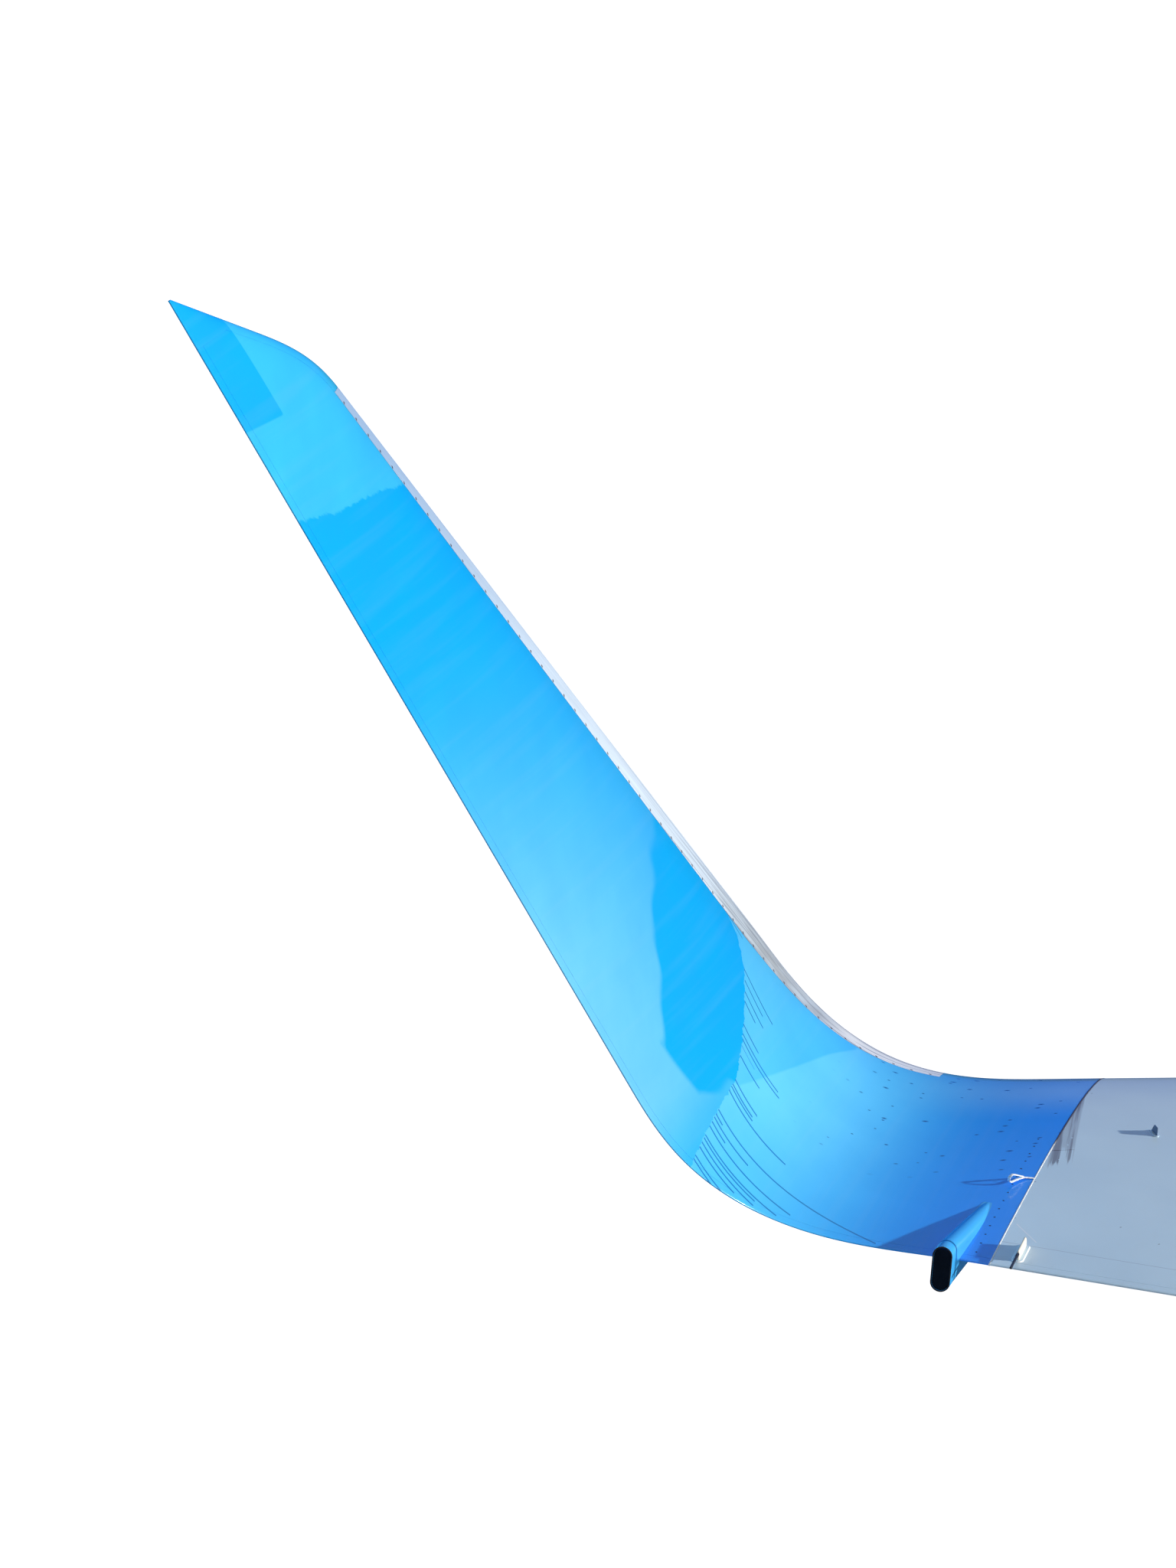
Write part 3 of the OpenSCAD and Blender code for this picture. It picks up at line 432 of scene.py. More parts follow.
# Painted pale reflection to the rear, which the dark wedge keeps out between its soft edges and its ragged
# foot.
wave = add(blue, "TexNoise", {"Vector": place, "Scale": 1000 / 200, "Detail": 0.0})[0]
wave = add(blue, "MapRange", {"Value": wave, "To Min": -0.045, "To Max": 0.045})[0]
wedge = add(blue, "Math", {0: wedge, 1: wave}, operation="ADD")[0]
wedge = add(blue, "MapRange", {"Value": wedge, "From Min": -0.016, "From Max": 0.016},
            interpolation_type="SMOOTHSTEP")[0]
jag = add(blue, "Math", {0: jag, 1: 0.9, 2: below}, operation="MULTIPLY_ADD")[0]
foot = add(blue, "MapRange", {"Value": jag, "From Min": -0.001, "From Max": 0.001})[0]
clear = add(blue, "Math", {0: 1.0, 1: wedge}, operation="SUBTRACT")[0]
clear = add(blue, "Math", {0: clear, 1: foot}, operation="MAXIMUM")[0]
pale_reflection = add(blue, "Math", {0: pale_reflection, 1: clear}, operation="MULTIPLY")[0]
# Painted sheen on the bend, up to a slanting line, weaker at the rear edge and at the root.
low = add(blue, "MapRange", {"Value": s_here, "From Min": 0.08, "From Max": 0.6},
          interpolation_type="SMOOTHSTEP")[0]
painted_sheen = add(blue, "MapRange", {"Value": painted_sheen, "From Min": -0.004, "From Max": 0.004,
                               "To Min": 0.55, "To Max": 1})[0]
painted_sheen = add(blue, "Math", {0: painted_sheen, 1: low}, operation="MULTIPLY")[0]
painted_sheen = add(blue, "Math", {0: painted_sheen, 1: foot}, operation="MULTIPLY")[0]
aft = add(blue, "MapRange", {"Value": fore, "From Max": 0.5, "To Min": 0.55, "To Max": 1})[0]
painted_sheen = add(blue, "Math", {0: painted_sheen, 1: aft}, operation="MULTIPLY")[0]
# Colours of these painted reflections, and painted shade: a deeper blue towards the root, paler there along
# the front.
root_shade = add(blue, "MapRange", {"Value": s_here, "From Min": 0.51, "From Max": -0.06},
           interpolation_type="SMOOTHSTEP")[0]
paint = add(blue, "Mix", {0: tip_reflection, 6: linear("#00a3e7"), 7: linear("#35b5e7")}, data_type="RGBA")[2]
paint = add(blue, "Mix", {0: pale_reflection, 6: paint, 7: linear("#68bee7")}, data_type="RGBA")[2]
paint = add(blue, "Mix", {0: painted_sheen, 6: paint, 7: linear("#61c4ef")}, data_type="RGBA")[2]
front = add(blue, "MapRange", {"Value": back, "From Min": 0.5, "From Max": 0.2},
            interpolation_type="SMOOTHSTEP")[0]
# The root colour is painted shade, less of it along the front.
root = add(blue, "Mix", {0: front, 6: linear("#2e94ff"), 7: linear("#90c4ff")}, data_type="RGBA")[2]
paint = add(blue, "Mix", {0: root_shade, 6: paint, 7: root}, data_type="RGBA")[2]
# Soft clouds of tone, and faint dust along the air stream.
cloud = add(blue, "TexNoise", {"Vector": solid_place, "Scale": 1000 / 200, "Detail": 4.0})[0]
tone = add(blue, "MapRange", {"Value": cloud, "From Min": 0.35, "From Max": 0.65, "To Max": 0.14})[0]
paint = add(blue, "Mix", {0: tone, 6: paint, 7: linear("#0a86d2")}, data_type="RGBA")[2]
flow = add(blue, "Mapping", {"Vector": place, "Scale": (1000 / 30, 1000 / 900, 0.0)})[0]
dust = add(blue, "TexNoise", {"Vector": flow, "Scale": 1.0, "Detail": 4.0})[0]
dust = add(blue, "MapRange", {"Value": dust, "From Min": 0.48, "From Max": 0.75, "To Max": 0.03})[0]
paint = add(blue, "Mix", {0: dust, 6: paint, 7: linear("#b4cad6")}, data_type="RGBA")[2]
# Dark thin streaks below the wedge's foot: each column draws its place, its length and whether it is there.
column = add(blue, "Math", {0: number}, operation="FLOOR")[0]
chance = add(blue, "TexWhiteNoise", {"W": column}, noise_dimensions="1D")
draw, length, kept = add(blue, "SeparateXYZ", {0: chance["Color"]})
middle = add(blue, "MapRange", {"Value": draw, "To Min": 0.25, "To Max": 0.75})[0]
off = add(blue, "Math", {0: number, 1: column}, operation="SUBTRACT")[0]
off = add(blue, "Math", {0: off, 1: middle}, operation="SUBTRACT")[0]
off = add(blue, "Math", {0: off}, operation="ABSOLUTE")[0]
run = add(blue, "MapRange", {"Value": off, "From Min": 0.10, "From Max": 0.20,
                             "To Min": 0.8, "To Max": 0})[0]
longest = add(blue, "MapRange", {"Value": number, "From Min": 33.0, "From Max": 38.0,
                                 "To Min": 0.16, "To Max": 0.38},
              interpolation_type="SMOOTHSTEP")[0]
length = add(blue, "Math", {0: length, 1: 1.6}, operation="POWER")[0]
length = add(blue, "MapRange", {"Value": length, "To Min": 0.03, "To Max": longest})[0]
long_column = 44.0
long_one = add(blue, "Math", {0: column, 1: long_column, 2: 0.5}, operation="COMPARE")[0]
length = add(blue, "Math", {0: long_one, 1: 0.3, 2: length}, operation="MULTIPLY_ADD")[0]
ends = add(blue, "Math", {0: below, 1: length}, operation="LESS_THAN")[0]
starts = add(blue, "Math", {0: below, 1: 0.0}, operation="GREATER_THAN")[0]
rare = add(blue, "MapRange", {"Value": number, "From Min": 26.0, "From Max": 44.0,
                              "To Min": 0.68, "To Max": 0.2})[0]
kept = add(blue, "Math", {0: kept, 1: rare}, operation="GREATER_THAN")[0]
kept = add(blue, "Math", {0: kept, 1: long_one}, operation="MAXIMUM")[0]
run = add(blue, "Math", {0: run, 1: ends}, operation="MULTIPLY")[0]
run = add(blue, "Math", {0: run, 1: starts}, operation="MULTIPLY")[0]
run = add(blue, "Math", {0: run, 1: kept}, operation="MULTIPLY")[0]
paint = add(blue, "Mix", {0: run, 6: paint, 7: linear("#0a5f96")}, data_type="RGBA")[2]
# Spots of dirt on the bend, in about one of four cells 45 by 33 mm wide.
cell = add(blue, "Mapping", {"Vector": place, "Scale": (1000 / 45, 1000 / 33, 0.0)})[0]
spots = add(blue, "TexVoronoi", {"Vector": cell, "Scale": 1.0}, voronoi_dimensions="2D")
chance, size = add(blue, "SeparateXYZ", {0: spots["Color"]})[:2]
chosen = add(blue, "Math", {0: chance, 1: 0.77}, operation="GREATER_THAN")[0]
size = add(blue, "MapRange", {"Value": size, "To Min": 0.08, "To Max": 0.22})[0]
fleck = add(blue, "MapRange", {"Value": spots["Distance"], "From Min": 0.05, "From Max": size,
                               "To Min": 0.9, "To Max": 0})[0]
fleck = add(blue, "Math", {0: fleck, 1: chosen}, operation="MULTIPLY")[0]
fleck = add(blue, "Math", {0: fleck, 1: dirt}, operation="MULTIPLY")[0]
paint = add(blue, "Mix", {0: fleck, 6: paint, 7: linear("#123a72")}, data_type="RGBA")[2]
# A thin line of dirt where the paint meets the bare strip.
rim = add(blue, "Math", {0: rim}, operation="ABSOLUTE")[0]
rim = add(blue, "MapRange", {"Value": rim, "From Min": 0.001, "From Max": 0.0028,
                             "To Min": 0.75, "To Max": 0})[0]
paint = add(blue, "Mix", {0: rim, 6: paint, 7: linear("#0a5c93")}, data_type="RGBA")[2]
# The sprayed paint's peel is drawn 5 mm wide, because the real 1 to 2 mm is too fine to show.
peel = add(blue, "TexNoise", {"Vector": solid_place, "Scale": 1000 / 5, "Detail": 1.0})[0]
rough = add(blue, "MapRange", {"Value": cloud, "To Min": 0.18, "To Max": 0.3})[0]
bump = add(blue, "Bump", {"Height": peel, "Strength": 0.03, "Distance": 0.0004})[0]
for key, value in (("Base Color", paint), ("Roughness", rough), ("Normal", bump)):
    blue.node_tree.links.new(value, shade[key])
shade["Coat Weight"].default_value = 0.5
shade["Coat Roughness"].default_value = 0.05

for name, side in (("inboard_skin", 1), ("outboard_skin", -1)):
    points, s, u = skin_rings(blade_spans, side)
    inner = 1.0 if side > 0 else 0.0
    piece = solid("visual_" + name, points, blue, plan=plan(s, u), fade=fade(s, u) * (inner, 1.0, inner),
                  zones=np.where(inner > 0, zones(s, u), -1.0),
                  marks=np.where(inner > 0, marks(s, u), -1.0))
    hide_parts(name)


# PAINTED EDGES OF THE WINGLET
# Root and tip nose sheets, the solid trailing edge strip and the solid tip cap, in the same blue paint.
# The nose sheets are screwed on; the strip and the cap are bonded to the skins.
root_spans = np.linspace(seam, strip_from - gap, 40)
tip_spans = np.linspace(strip_to + gap, cap_from - cap_gap, 40)
cap_spans = np.linspace(cap_from + cap_gap, span_len, 30)


def cap_rings(spans, columns=40):
    """Rings of the whole section: u grows with v^2 from the nose, which is kept once, to the rear edge."""
    s = np.asarray(spans)[:, None]
    last = 1 - half(s, 1.0) / chord(s)
    points, s, u = edge_rings(s, last * np.linspace(0, 1, columns) ** 2)
    return points[:, :-1], s, u[:, :-1]


for name, rings, spans in (("root_nose", nose_rings, root_spans), ("tip_nose", nose_rings, tip_spans),
                           ("trailing_edge_strip", strip_rings, blade_spans),
                           ("tip_cap", cap_rings, cap_spans)):
    points, s, u = rings(spans)
    height = ((points - at(s, u, 0.0)) * (at(s, u, 1.0) - at(s, u, 0.0))).sum(-1, keepdims=True)
    inner = (height > -1e-6) * 1.0
    piece = solid("visual_" + name, points, blue, plan=plan(s, u),
                  zones=np.where(inner > 0, zones(s, u), -1.0),
                  marks=np.where(inner > 0, marks(s, u), -1.0),
                  fade=fade(s, u) * np.concatenate((inner, 0 * inner + 1, inner), -1))
    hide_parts(name)


# BARE LEADING EDGE
# The erosion strip along the blade's nose: bare aluminium sheet, dulled and streaked by rain and dirt.
# It is riveted along both rear edges to the skins.

# Rolled aluminium, left bare and weathered: dull silver with fine lines along the sheet.
# The lines are drawn 4 mm wide, coarser than the real ones, which are too fine to show.
bare, shade = new_finish("bare_aluminium")
place = add(bare, "Attribute", attribute_name="plan")["Vector"]
s_here, back = add(bare, "SeparateXYZ", {0: place})[:2]
long_way = add(bare, "Mapping", {"Vector": place, "Scale": (1000 / 330, 1000 / 4, 0.0)})[0]
drawn = add(bare, "TexNoise", {"Vector": long_way, "Scale": 1.0, "Detail": 5.0, "Roughness": 0.65})[0]
cloud = add(bare, "TexNoise", {"Vector": place, "Scale": 1000 / 70, "Detail": 5.0})[0]
clean = add(bare, "MapRange", {"Value": s_here, "From Min": 2.6, "From Max": 1.6},
            interpolation_type="SMOOTHSTEP")[0]
metal = add(bare, "Mix", {0: clean, 6: linear("#a9c4d8"), 7: linear("#ebf7f7")}, data_type="RGBA")[2]
streak = add(bare, "MapRange", {"Value": drawn, "From Min": 0.35, "From Max": 0.65,
                                "To Min": 0.45, "To Max": 0})[0]
metal = add(bare, "Mix", {0: streak, 6: metal, 7: linear("#98a9b6")}, data_type="RGBA")[2]
# A patchy grey bloom over the middle of the span, with cleaner and brighter metal below it.
dull = add(bare, "MapRange", {"Value": s_here, "From Min": 1.3, "From Max": 0.9},
           interpolation_type="SMOOTHSTEP")[0]
fresh = add(bare, "MapRange", {"Value": s_here, "From Min": 0.42, "From Max": 0.62},
            interpolation_type="SMOOTHSTEP")[0]
patchy = add(bare, "MapRange", {"Value": cloud, "From Min": 0.35, "From Max": 0.65,
                                "To Min": 0.4, "To Max": 0.75})[0]
dull = add(bare, "Math", {0: dull, 1: fresh}, operation="MULTIPLY")[0]
dull = add(bare, "Math", {0: dull, 1: patchy}, operation="MULTIPLY")[0]
metal = add(bare, "Mix", {0: dull, 6: metal, 7: linear("#9b9a90")}, data_type="RGBA")[2]
worn = add(bare, "Mapping", {"Vector": place, "Scale": (1000 / 450, 1000 / 12, 0.0)})[0]
worn = add(bare, "TexNoise", {"Vector": worn, "Scale": 1.0, "Detail": 3.0})[0]
bright = add(bare, "MapRange", {"Value": s_here, "From Min": 0.72, "From Max": 0.56},
             interpolation_type="SMOOTHSTEP")[0]
bright = add(bare, "Math", {0: bright, 1: 0.8}, operation="MULTIPLY")[0]
metal = add(bare, "Mix", {0: bright, 6: metal, 7: linear("#fffdf0")}, data_type="RGBA")[2]
# Dark scored lines on the lower half, and dirt along the front of the bright stretch.
lower = add(bare, "MapRange", {"Value": s_here, "From Min": 1.7, "From Max": 1.1},
            interpolation_type="SMOOTHSTEP")[0]
scored = add(bare, "MapRange", {"Value": worn, "From Min": 0.53, "From Max": 0.58, "To Max": 0.6})[0]
scored = add(bare, "Math", {0: scored, 1: lower}, operation="MULTIPLY")[0]
metal = add(bare, "Mix", {0: scored, 6: metal, 7: linear("#6f777d")}, data_type="RGBA")[2]
edge = add(bare, "MapRange", {"Value": back, "From Min": 0.045, "From Max": 0.075,
                              "To Min": 0.7, "To Max": 0})[0]
edge = add(bare, "Math", {0: edge, 1: bright}, operation="MULTIPLY")[0]
metal = add(bare, "Mix", {0: edge, 6: metal, 7: linear("#6f777d")}, data_type="RGBA")[2]
rough = add(bare, "MapRange", {"Value": drawn, "To Min": 0.32, "To Max": 0.55})[0]
bump = add(bare, "Bump", {"Height": drawn, "Strength": 0.08, "Distance": 0.0004})[0]
for key, value in (("Base Color", metal), ("Roughness", rough), ("Normal", bump)):
    bare.node_tree.links.new(value, shade[key])
shade["Metallic"].default_value = 0.4

points, s, u = nose_rings(np.linspace(strip_from + gap, strip_to - gap, 220))
piece = solid("visual_leading_edge", points, bare, plan=plan(s, u))
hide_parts("leading_edge")


# RIVETS AND SCREWS
# Flush rivets along the bare strip, and rows of screws along the joint and the wing's rear edge.
# Aluminium and steel heads 5 to 7 mm wide, set in the skins and a little proud of them.
rivet_pitch, rivet_inset = 0.046, 0.0075
rivet_r, rivet_proud = 0.0034, 0.0005
screw_pitch, screw_r, screw_proud = 0.048, 0.0024, 0.0003
blade_row, wing_row, edge_inset = 0.040, -0.030, 0.040
screw_plan = (-0.3, 0.9, 0.3)

# Aged aluminium heads, pressed and then darkened by dirt: small dull dots that mark the rows.
rivet_metal, shade = new_finish("rivet_metal")
solid_place = add(rivet_metal, "TexCoord")["Object"]
cloud = add(rivet_metal, "TexNoise", {"Vector": solid_place, "Scale": 1000 / 11, "Detail": 4.0})[0]
metal = add(rivet_metal, "Mix", {0: cloud, 6: linear("#12181e"), 7: linear("#333c45")},
            data_type="RGBA")[2]
rough = add(rivet_metal, "MapRange", {"Value": cloud, "To Min": 0.35, "To Max": 0.6})[0]
rivet_metal.node_tree.links.new(metal, shade["Base Color"])
rivet_metal.node_tree.links.new(rough, shade["Roughness"])
shade["Metallic"].default_value = 0.7


def heads(s, u, side, radius, proud):
    """Low domes on the skin: rings of a share of the radius at a share of the height proud of the skin,
    turned on the skin's own tangents."""
    s, u = np.asarray(s, float), np.asarray(u, float)
    here = at(s, u, side * half(s, u))
    along = at(s + 0.001, u, side * half(s + 0.001, u)) - here
    aft = at(s, u + 0.001, side * half(s, u + 0.001)) - here
    along /= np.linalg.norm(along, axis=-1, keepdims=True)
    normal = side * np.cross(aft, along)
    normal /= np.linalg.norm(normal, axis=-1, keepdims=True)
    aft = np.cross(along, normal)
    turn = np.linspace(0, 2 * np.pi, 16, endpoint=False)
    size = np.array((1.0, 1.0, 0.85, 0.5, 0.12))[:, None] * radius
    lift = np.array((-0.5, 0.0, 0.6, 0.9, 1.0))[:, None] * proud
    out = (size * np.cos(turn))[..., None] * along[:, None, None]
    back = (size * np.sin(turn))[..., None] * aft[:, None, None]
    rise = lift[..., None] * normal[:, None, None]
    return here[:, None, None] + out + back + rise


spots = np.arange(strip_from + rivet_pitch / 2, strip_to - 0.005, rivet_pitch)
share = nose_share(spots) - rivet_inset / chord(spots)
both = np.concatenate([heads(spots, share, side, rivet_r, rivet_proud) for side in (1, -1)])
piece = solid("strip_rivets", both, rivet_metal)
row = np.arange(0.62, 1.33, screw_pitch)
edge = np.arange(-0.47, -0.02, screw_pitch)
for name, slot, finish, s, u in (
        ("joint_screws_winglet", "bolt_steel", rivet_metal, 0 * row + blade_row, row / chord(blade_row)),
        ("joint_screws_wing", "grey_paint", grey, 0 * row + wing_row, row / chord(wing_row)),
        ("edge_screws_wing", "grey_paint", grey, edge, 1 - edge_inset / chord(edge))):
    both = np.concatenate([heads(s, u, side, screw_r, screw_proud) for side in (1, -1)])
    piece = solid(name, both, finish, plan=screw_plan)


# JOINT SEALANT
# The bead that fills the seam between wing and winglet: white sealant, freshly laid along the rear half
# and blackened by grime along the front half of the upper side.

# Polysulphide sealant, spread by hand and cured: matt white and a little lumpy, black where it is old.
sealant, shade = new_finish("sealant")
place = add(sealant, "Attribute", attribute_name="plan")["Vector"]
back = add(sealant, "SeparateXYZ", {0: place})[1]
solid_place = add(sealant, "TexCoord")["Object"]
cloud = add(sealant, "TexNoise", {"Vector": solid_place, "Scale": 1000 / 17, "Detail": 4.0})[0]
clean = add(sealant, "Mix", {0: cloud, 6: linear("#e6e9ea"), 7: linear("#fdfdfa")}, data_type="RGBA")[2]
old = add(sealant, "MapRange", {"Value": back, "From Min": 0.70, "From Max": 0.62},
          interpolation_type="SMOOTHSTEP")[0]
paint = add(sealant, "Mix", {0: old, 6: clean, 7: linear("#454247")}, data_type="RGBA")[2]
bump = add(sealant, "Bump", {"Height": cloud, "Strength": 0.3, "Distance": 0.001})[0]
sealant.node_tree.links.new(paint, shade["Base Color"])
sealant.node_tree.links.new(bump, shade["Normal"])
shade["Roughness"].default_value = 0.6

bead_half_w = 0.0018
v = np.linspace(-1, 1, 241)[:, None]
bead_u = np.abs(v) ** 1.5
outline = np.sign(v) * half(0.0, bead_u)
across = np.array((-1.0, -0.8, -0.3, 0.3, 0.8, 1.0, 1.0, -1.0))
lift = np.array((0.0, 0.0004, 0.0007, 0.0007, 0.0004, 0.0, -0.0022, -0.0022))
wobble = 1 + 0.12 * np.sin(61 * v) * np.sin(23 * v + 1)
bead_h = np.sign(v) * np.maximum(np.abs(outline) + lift * np.where(lift > 0, wobble, 1), 0.0003)
points = at(bead_half_w * across + 0 * v, bead_u, bead_h)
piece = solid("visual_joint_seal", points, sealant, loop=True, sharp=50, plan=plan(0 * bead_h, bead_u))
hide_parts("joint_seal")


# PEELED SEALANT
# A strip of old sealant that has come out of the seam, bent back on itself into a standing loop.
# Stiff white rubber, still held by the bead at its root.
peel_back = 0.88
peel_half_w, peel_half_t = 0.0044, 0.0016
fresh_plan = (0.0, 0.9, 0.4)
peel_u = peel_back / chord(0.0)
root = at(0.0025, peel_u, half(0.0, peel_u) + 0.0009)
knots = np.array(((0, 0, 0.4), (-5, 12, 1.4), (-12, 22, 2.6), (-34, 33, 2.0), (-56, 41, 1.6), (-66, 44, 7),
                  (-68, 43, 17), (-60, 38, 22), (-42, 31, 16), (-26, 25, 9.5), (-16, 21, 6))) / 1000
t = np.linspace(0, len(knots) - 1, 80)
line = np.stack([np.interp(t, np.arange(len(knots)), axis) for axis in knots.T], -1)
for again in range(4):
    line[1:-1] = (line[:-2] + line[1:-1] + line[2:]) / 3
ahead = np.gradient(line, axis=0)
ahead /= np.linalg.norm(ahead, axis=1, keepdims=True)
flat = np.array((0.62, 0.78, 0.0))
thick = np.cross(ahead, flat)
thick /= np.linalg.norm(thick, axis=1, keepdims=True)
turn = np.linspace(0, 2 * np.pi, 12, endpoint=False) + np.pi / 12
width = (peel_half_w + 0.0006 * np.sin(9 * t))[:, None, None]
ribbon = line[:, None] + width * np.cos(turn)[:, None] * flat
ribbon = ribbon + peel_half_t * np.sin(turn)[:, None] * thick[:, None]
piece = solid("visual_peeled_sealant", root + ribbon, sealant, plan=fresh_plan)
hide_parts("peeled_sealant")


# AFT LIGHT FAIRING
# A moulded fairing in two halves, clamped over the trailing edge just outboard of the joint.
# Blue paint like the blade; its aft end is hollow for the lamps.
light_s = 0.0915
light_front, light_aft, light_toe = 0.32, 0.08, 0.022
light_half_w, light_half_h = 0.0225, 0.0525
retainer_len, gasket_room = 0.044, 0.0019
pocket = 0.018
wall = 0.0039
light_y = stub_len + light_s
light_te = trailing(light_s)
light_end = light_te - light_aft
fairing_end = light_end + retainer_len + gasket_room
light_plan, no_zones, no_marks = (0.36, 1.2, 0.1), (-1.0, -1.0, -1.0), (0.0, -1.0, 0.0)


def wing_top(x, y):
    """Height of the upper skin at x, y with half a millimetre of sealant; 0.1 mm behind the rear edge."""
    s = y - stub_len
    u = (leading(s) - x) / chord(s)
    return np.where(u < 1.0005, half(s, np.clip(u, 0, 1)) + 0.0005, 0.0001)


def fairing_rings(arc=25):
    """Rings of one half: an arch of radius w on upright walls, over the wing's skin or round the pocket.
    w is a quarter ellipse over the front three fifths; the nose toes in and the crest rises straight."""
    nose_x = light_te + light_front
    crest_0 = half(light_s, (leading(light_s) - nose_x) / chord(light_s)) - 0.0002
    step = (light_te + np.array((0.0006, -0.0008)) - nose_x) / (fairing_end - nose_x)
    inside = (fairing_end + pocket - nose_x) / (fairing_end - nose_x)
    t = np.sort(np.concatenate((np.linspace(0.02, 1, 70), step, (inside, inside + 0.0004))))[:, None]
    x = nose_x + (fairing_end - nose_x) * t
    r = np.minimum(1, (t + 0.03) / 0.6)
    w = light_half_w * np.sqrt(1 - (1 - r) ** 2)
    mid = light_y - light_toe * (1 - t)
    crest = crest_0 + (light_half_h - crest_0) * t
    a = np.linspace(0, np.pi, arc)
    y = mid + np.concatenate((w, w * np.cos(a), -w), 1)
    floor = wing_top(x, y)
    arch = np.maximum(crest - w + w * np.sin(a), floor[:, 1:-1] + 0.0004)
    outer = np.concatenate((floor[:, :1], arch, floor[:, -1:]), 1)
    w_in = np.maximum(w - wall, 0.6 * w)
    hollow = t > inside + 0.0002
    y_in = mid + np.where(hollow, np.concatenate((w_in, w_in * np.cos(a), -w_in), 1),
                          w_in * np.linspace(1, -1, arc + 2))
    vault = np.concatenate((0 * w, np.maximum(crest - w + w_in * np.sin(a), 0.0006), 0 * w), 1)
    inner = np.where(hollow, np.maximum(vault, wing_top(x, y_in)), wing_top(x, y_in))
    up = np.concatenate((outer, inner[:, ::-1]), 1)
    return np.stack(np.broadcast_arrays(x, np.concatenate((y, y_in[:, ::-1]), 1), up), -1)


# Half the blade's painted pale reflection, some painted root shade through light_plan's span place, and a
# thin line of dirt along the seams.
points = fairing_rings()
seam_near = np.minimum(points[..., 0] - fairing_end, points[..., 2])
reflection_and_seams = np.stack(np.broadcast_arrays(0.5, 0.5 * seam_near, 0.0), -1)
for name, flip in (("light_upper_fairing", 1), ("light_lower_fairing", -1)):
    piece = solid("visual_" + name, points * (1, 1, flip), blue, plan=light_plan, zones=no_zones,
                  fade=reflection_and_seams, marks=no_marks)
    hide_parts(name)


# LENS RETAINER, GASKET AND LENS
# An oblong blue-painted metal ring screwed to the fairing over a rubber gasket, with a nearly black lens.
# Behind it a plate carries the two lamps.
def oblong(inset, count=72):
    """Upright oblong outline (y, z): a circle of radius w - inset, its halves parted in height."""
    a = (np.arange(count) + 0.5) * 2 * np.pi / count
    r = light_half_w - np.asarray(inset, float)[..., None]
    return light_y + r * np.cos(a), r * np.sin(a) + (light_half_h - light_half_w) * np.sign(np.sin(a))


rim = np.array(((0, 0.0012), (0.0004, 0.0004), (0.0014, 0), (retainer_len, 0), (retainer_len, 0.0035),
                (0.0015, 0.0035), (0.0004, 0.0026), (0, 0.0018)))
y, z = oblong(rim[:, 1])
ring = np.stack(np.broadcast_arrays(light_end + rim[:, :1], y, z), -1).transpose(1, 0, 2)
# The retainer takes a little less painted pale reflection, and a line of dirt at its front edge.
reflection_and_seams = np.stack(np.broadcast_arrays(0.4, 0.5 * (light_end + retainer_len - ring[..., 0]), 0.0), -1)
piece = solid("visual_light_retainer", ring, blue, loop=True, plan=light_plan, zones=no_zones,
              fade=reflection_and_seams, marks=no_marks)
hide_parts("light_retainer")

# Smoked acrylic, moulded and polished: almost black and smooth, with a faint haze.
glass, shade = new_finish("dark_lens")
solid_place = add(glass, "TexCoord")["Object"]
haze = add(glass, "TexNoise", {"Vector": solid_place, "Scale": 1000 / 22, "Detail": 3.0})[0]
tint = add(glass, "Mix", {0: haze, 6: linear("#06080d"), 7: linear("#141924")}, data_type="RGBA")[2]
rough = add(glass, "MapRange", {"Value": haze, "To Min": 0.06, "To Max": 0.2})[0]
glass.node_tree.links.new(tint, shade["Base Color"])
glass.node_tree.links.new(rough, shade["Roughness"])

depth = np.array((0.022, 0.016, 0.010, 0.006, 0.0043, 0.0037, 0.0037))
bulge = np.array((0.0015, 0.00155, 0.0017, 0.0020, 0.0024, 0.0032, 0.0075))
y, z = oblong(depth)
face = np.stack(np.broadcast_arrays(light_end + bulge[:, None], y, z), -1)
piece = solid("visual_light_lens", face, glass)
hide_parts("light_lens")

rim = np.array(((-0.0005, 0.0022), (-0.0004, 0.0008), (0.0004, 0.0002), (0.0014, 0.0002),
                (0.0014, 0.0032), (0.0002, 0.0034)))
y, z = oblong(rim[:, 1])
ring = np.stack(np.broadcast_arrays(light_end + rim[:, :1], y, z), -1).transpose(1, 0, 2)
lens_ring = solid("lens_ring", ring, glass, loop=True)

# Moulded rubber, matt and nearly black; pressed alloy plate, dull silver; frosted lamp glass, nearly white.
for name, slot, low, high, metal, rough_to in (
        ("light_gasket", "gasket_rubber", "#15171a", "#26292d", 0.0, 0.8),
        ("light_carrier", "lamp_plate", "#bfc3bf", "#dfe1dc", 0.3, 0.5),
        ("light_lamps", "lamp", "#d5dde4", "#f4f8fb", 0.0, 0.2)):
    finish, shade = new_finish(slot)
    solid_place = add(finish, "TexCoord")["Object"]
    grain = add(finish, "TexNoise", {"Vector": solid_place, "Scale": 1000 / 8, "Detail": 3.0})[0]
    tint = add(finish, "Mix", {0: grain, 6: linear(low), 7: linear(high)}, data_type="RGBA")[2]
    rough = add(finish, "MapRange", {"Value": grain, "To Min": rough_to * 0.7, "To Max": rough_to})[0]
    finish.node_tree.links.new(tint, shade["Base Color"])
    finish.node_tree.links.new(rough, shade["Roughness"])
    shade["Metallic"].default_value = metal
    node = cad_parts[name]
    node.data.materials.clear()
    node.data.materials.append(finish)
lens_ring.data.materials[0] = bpy.data.materials["gasket_rubber"]


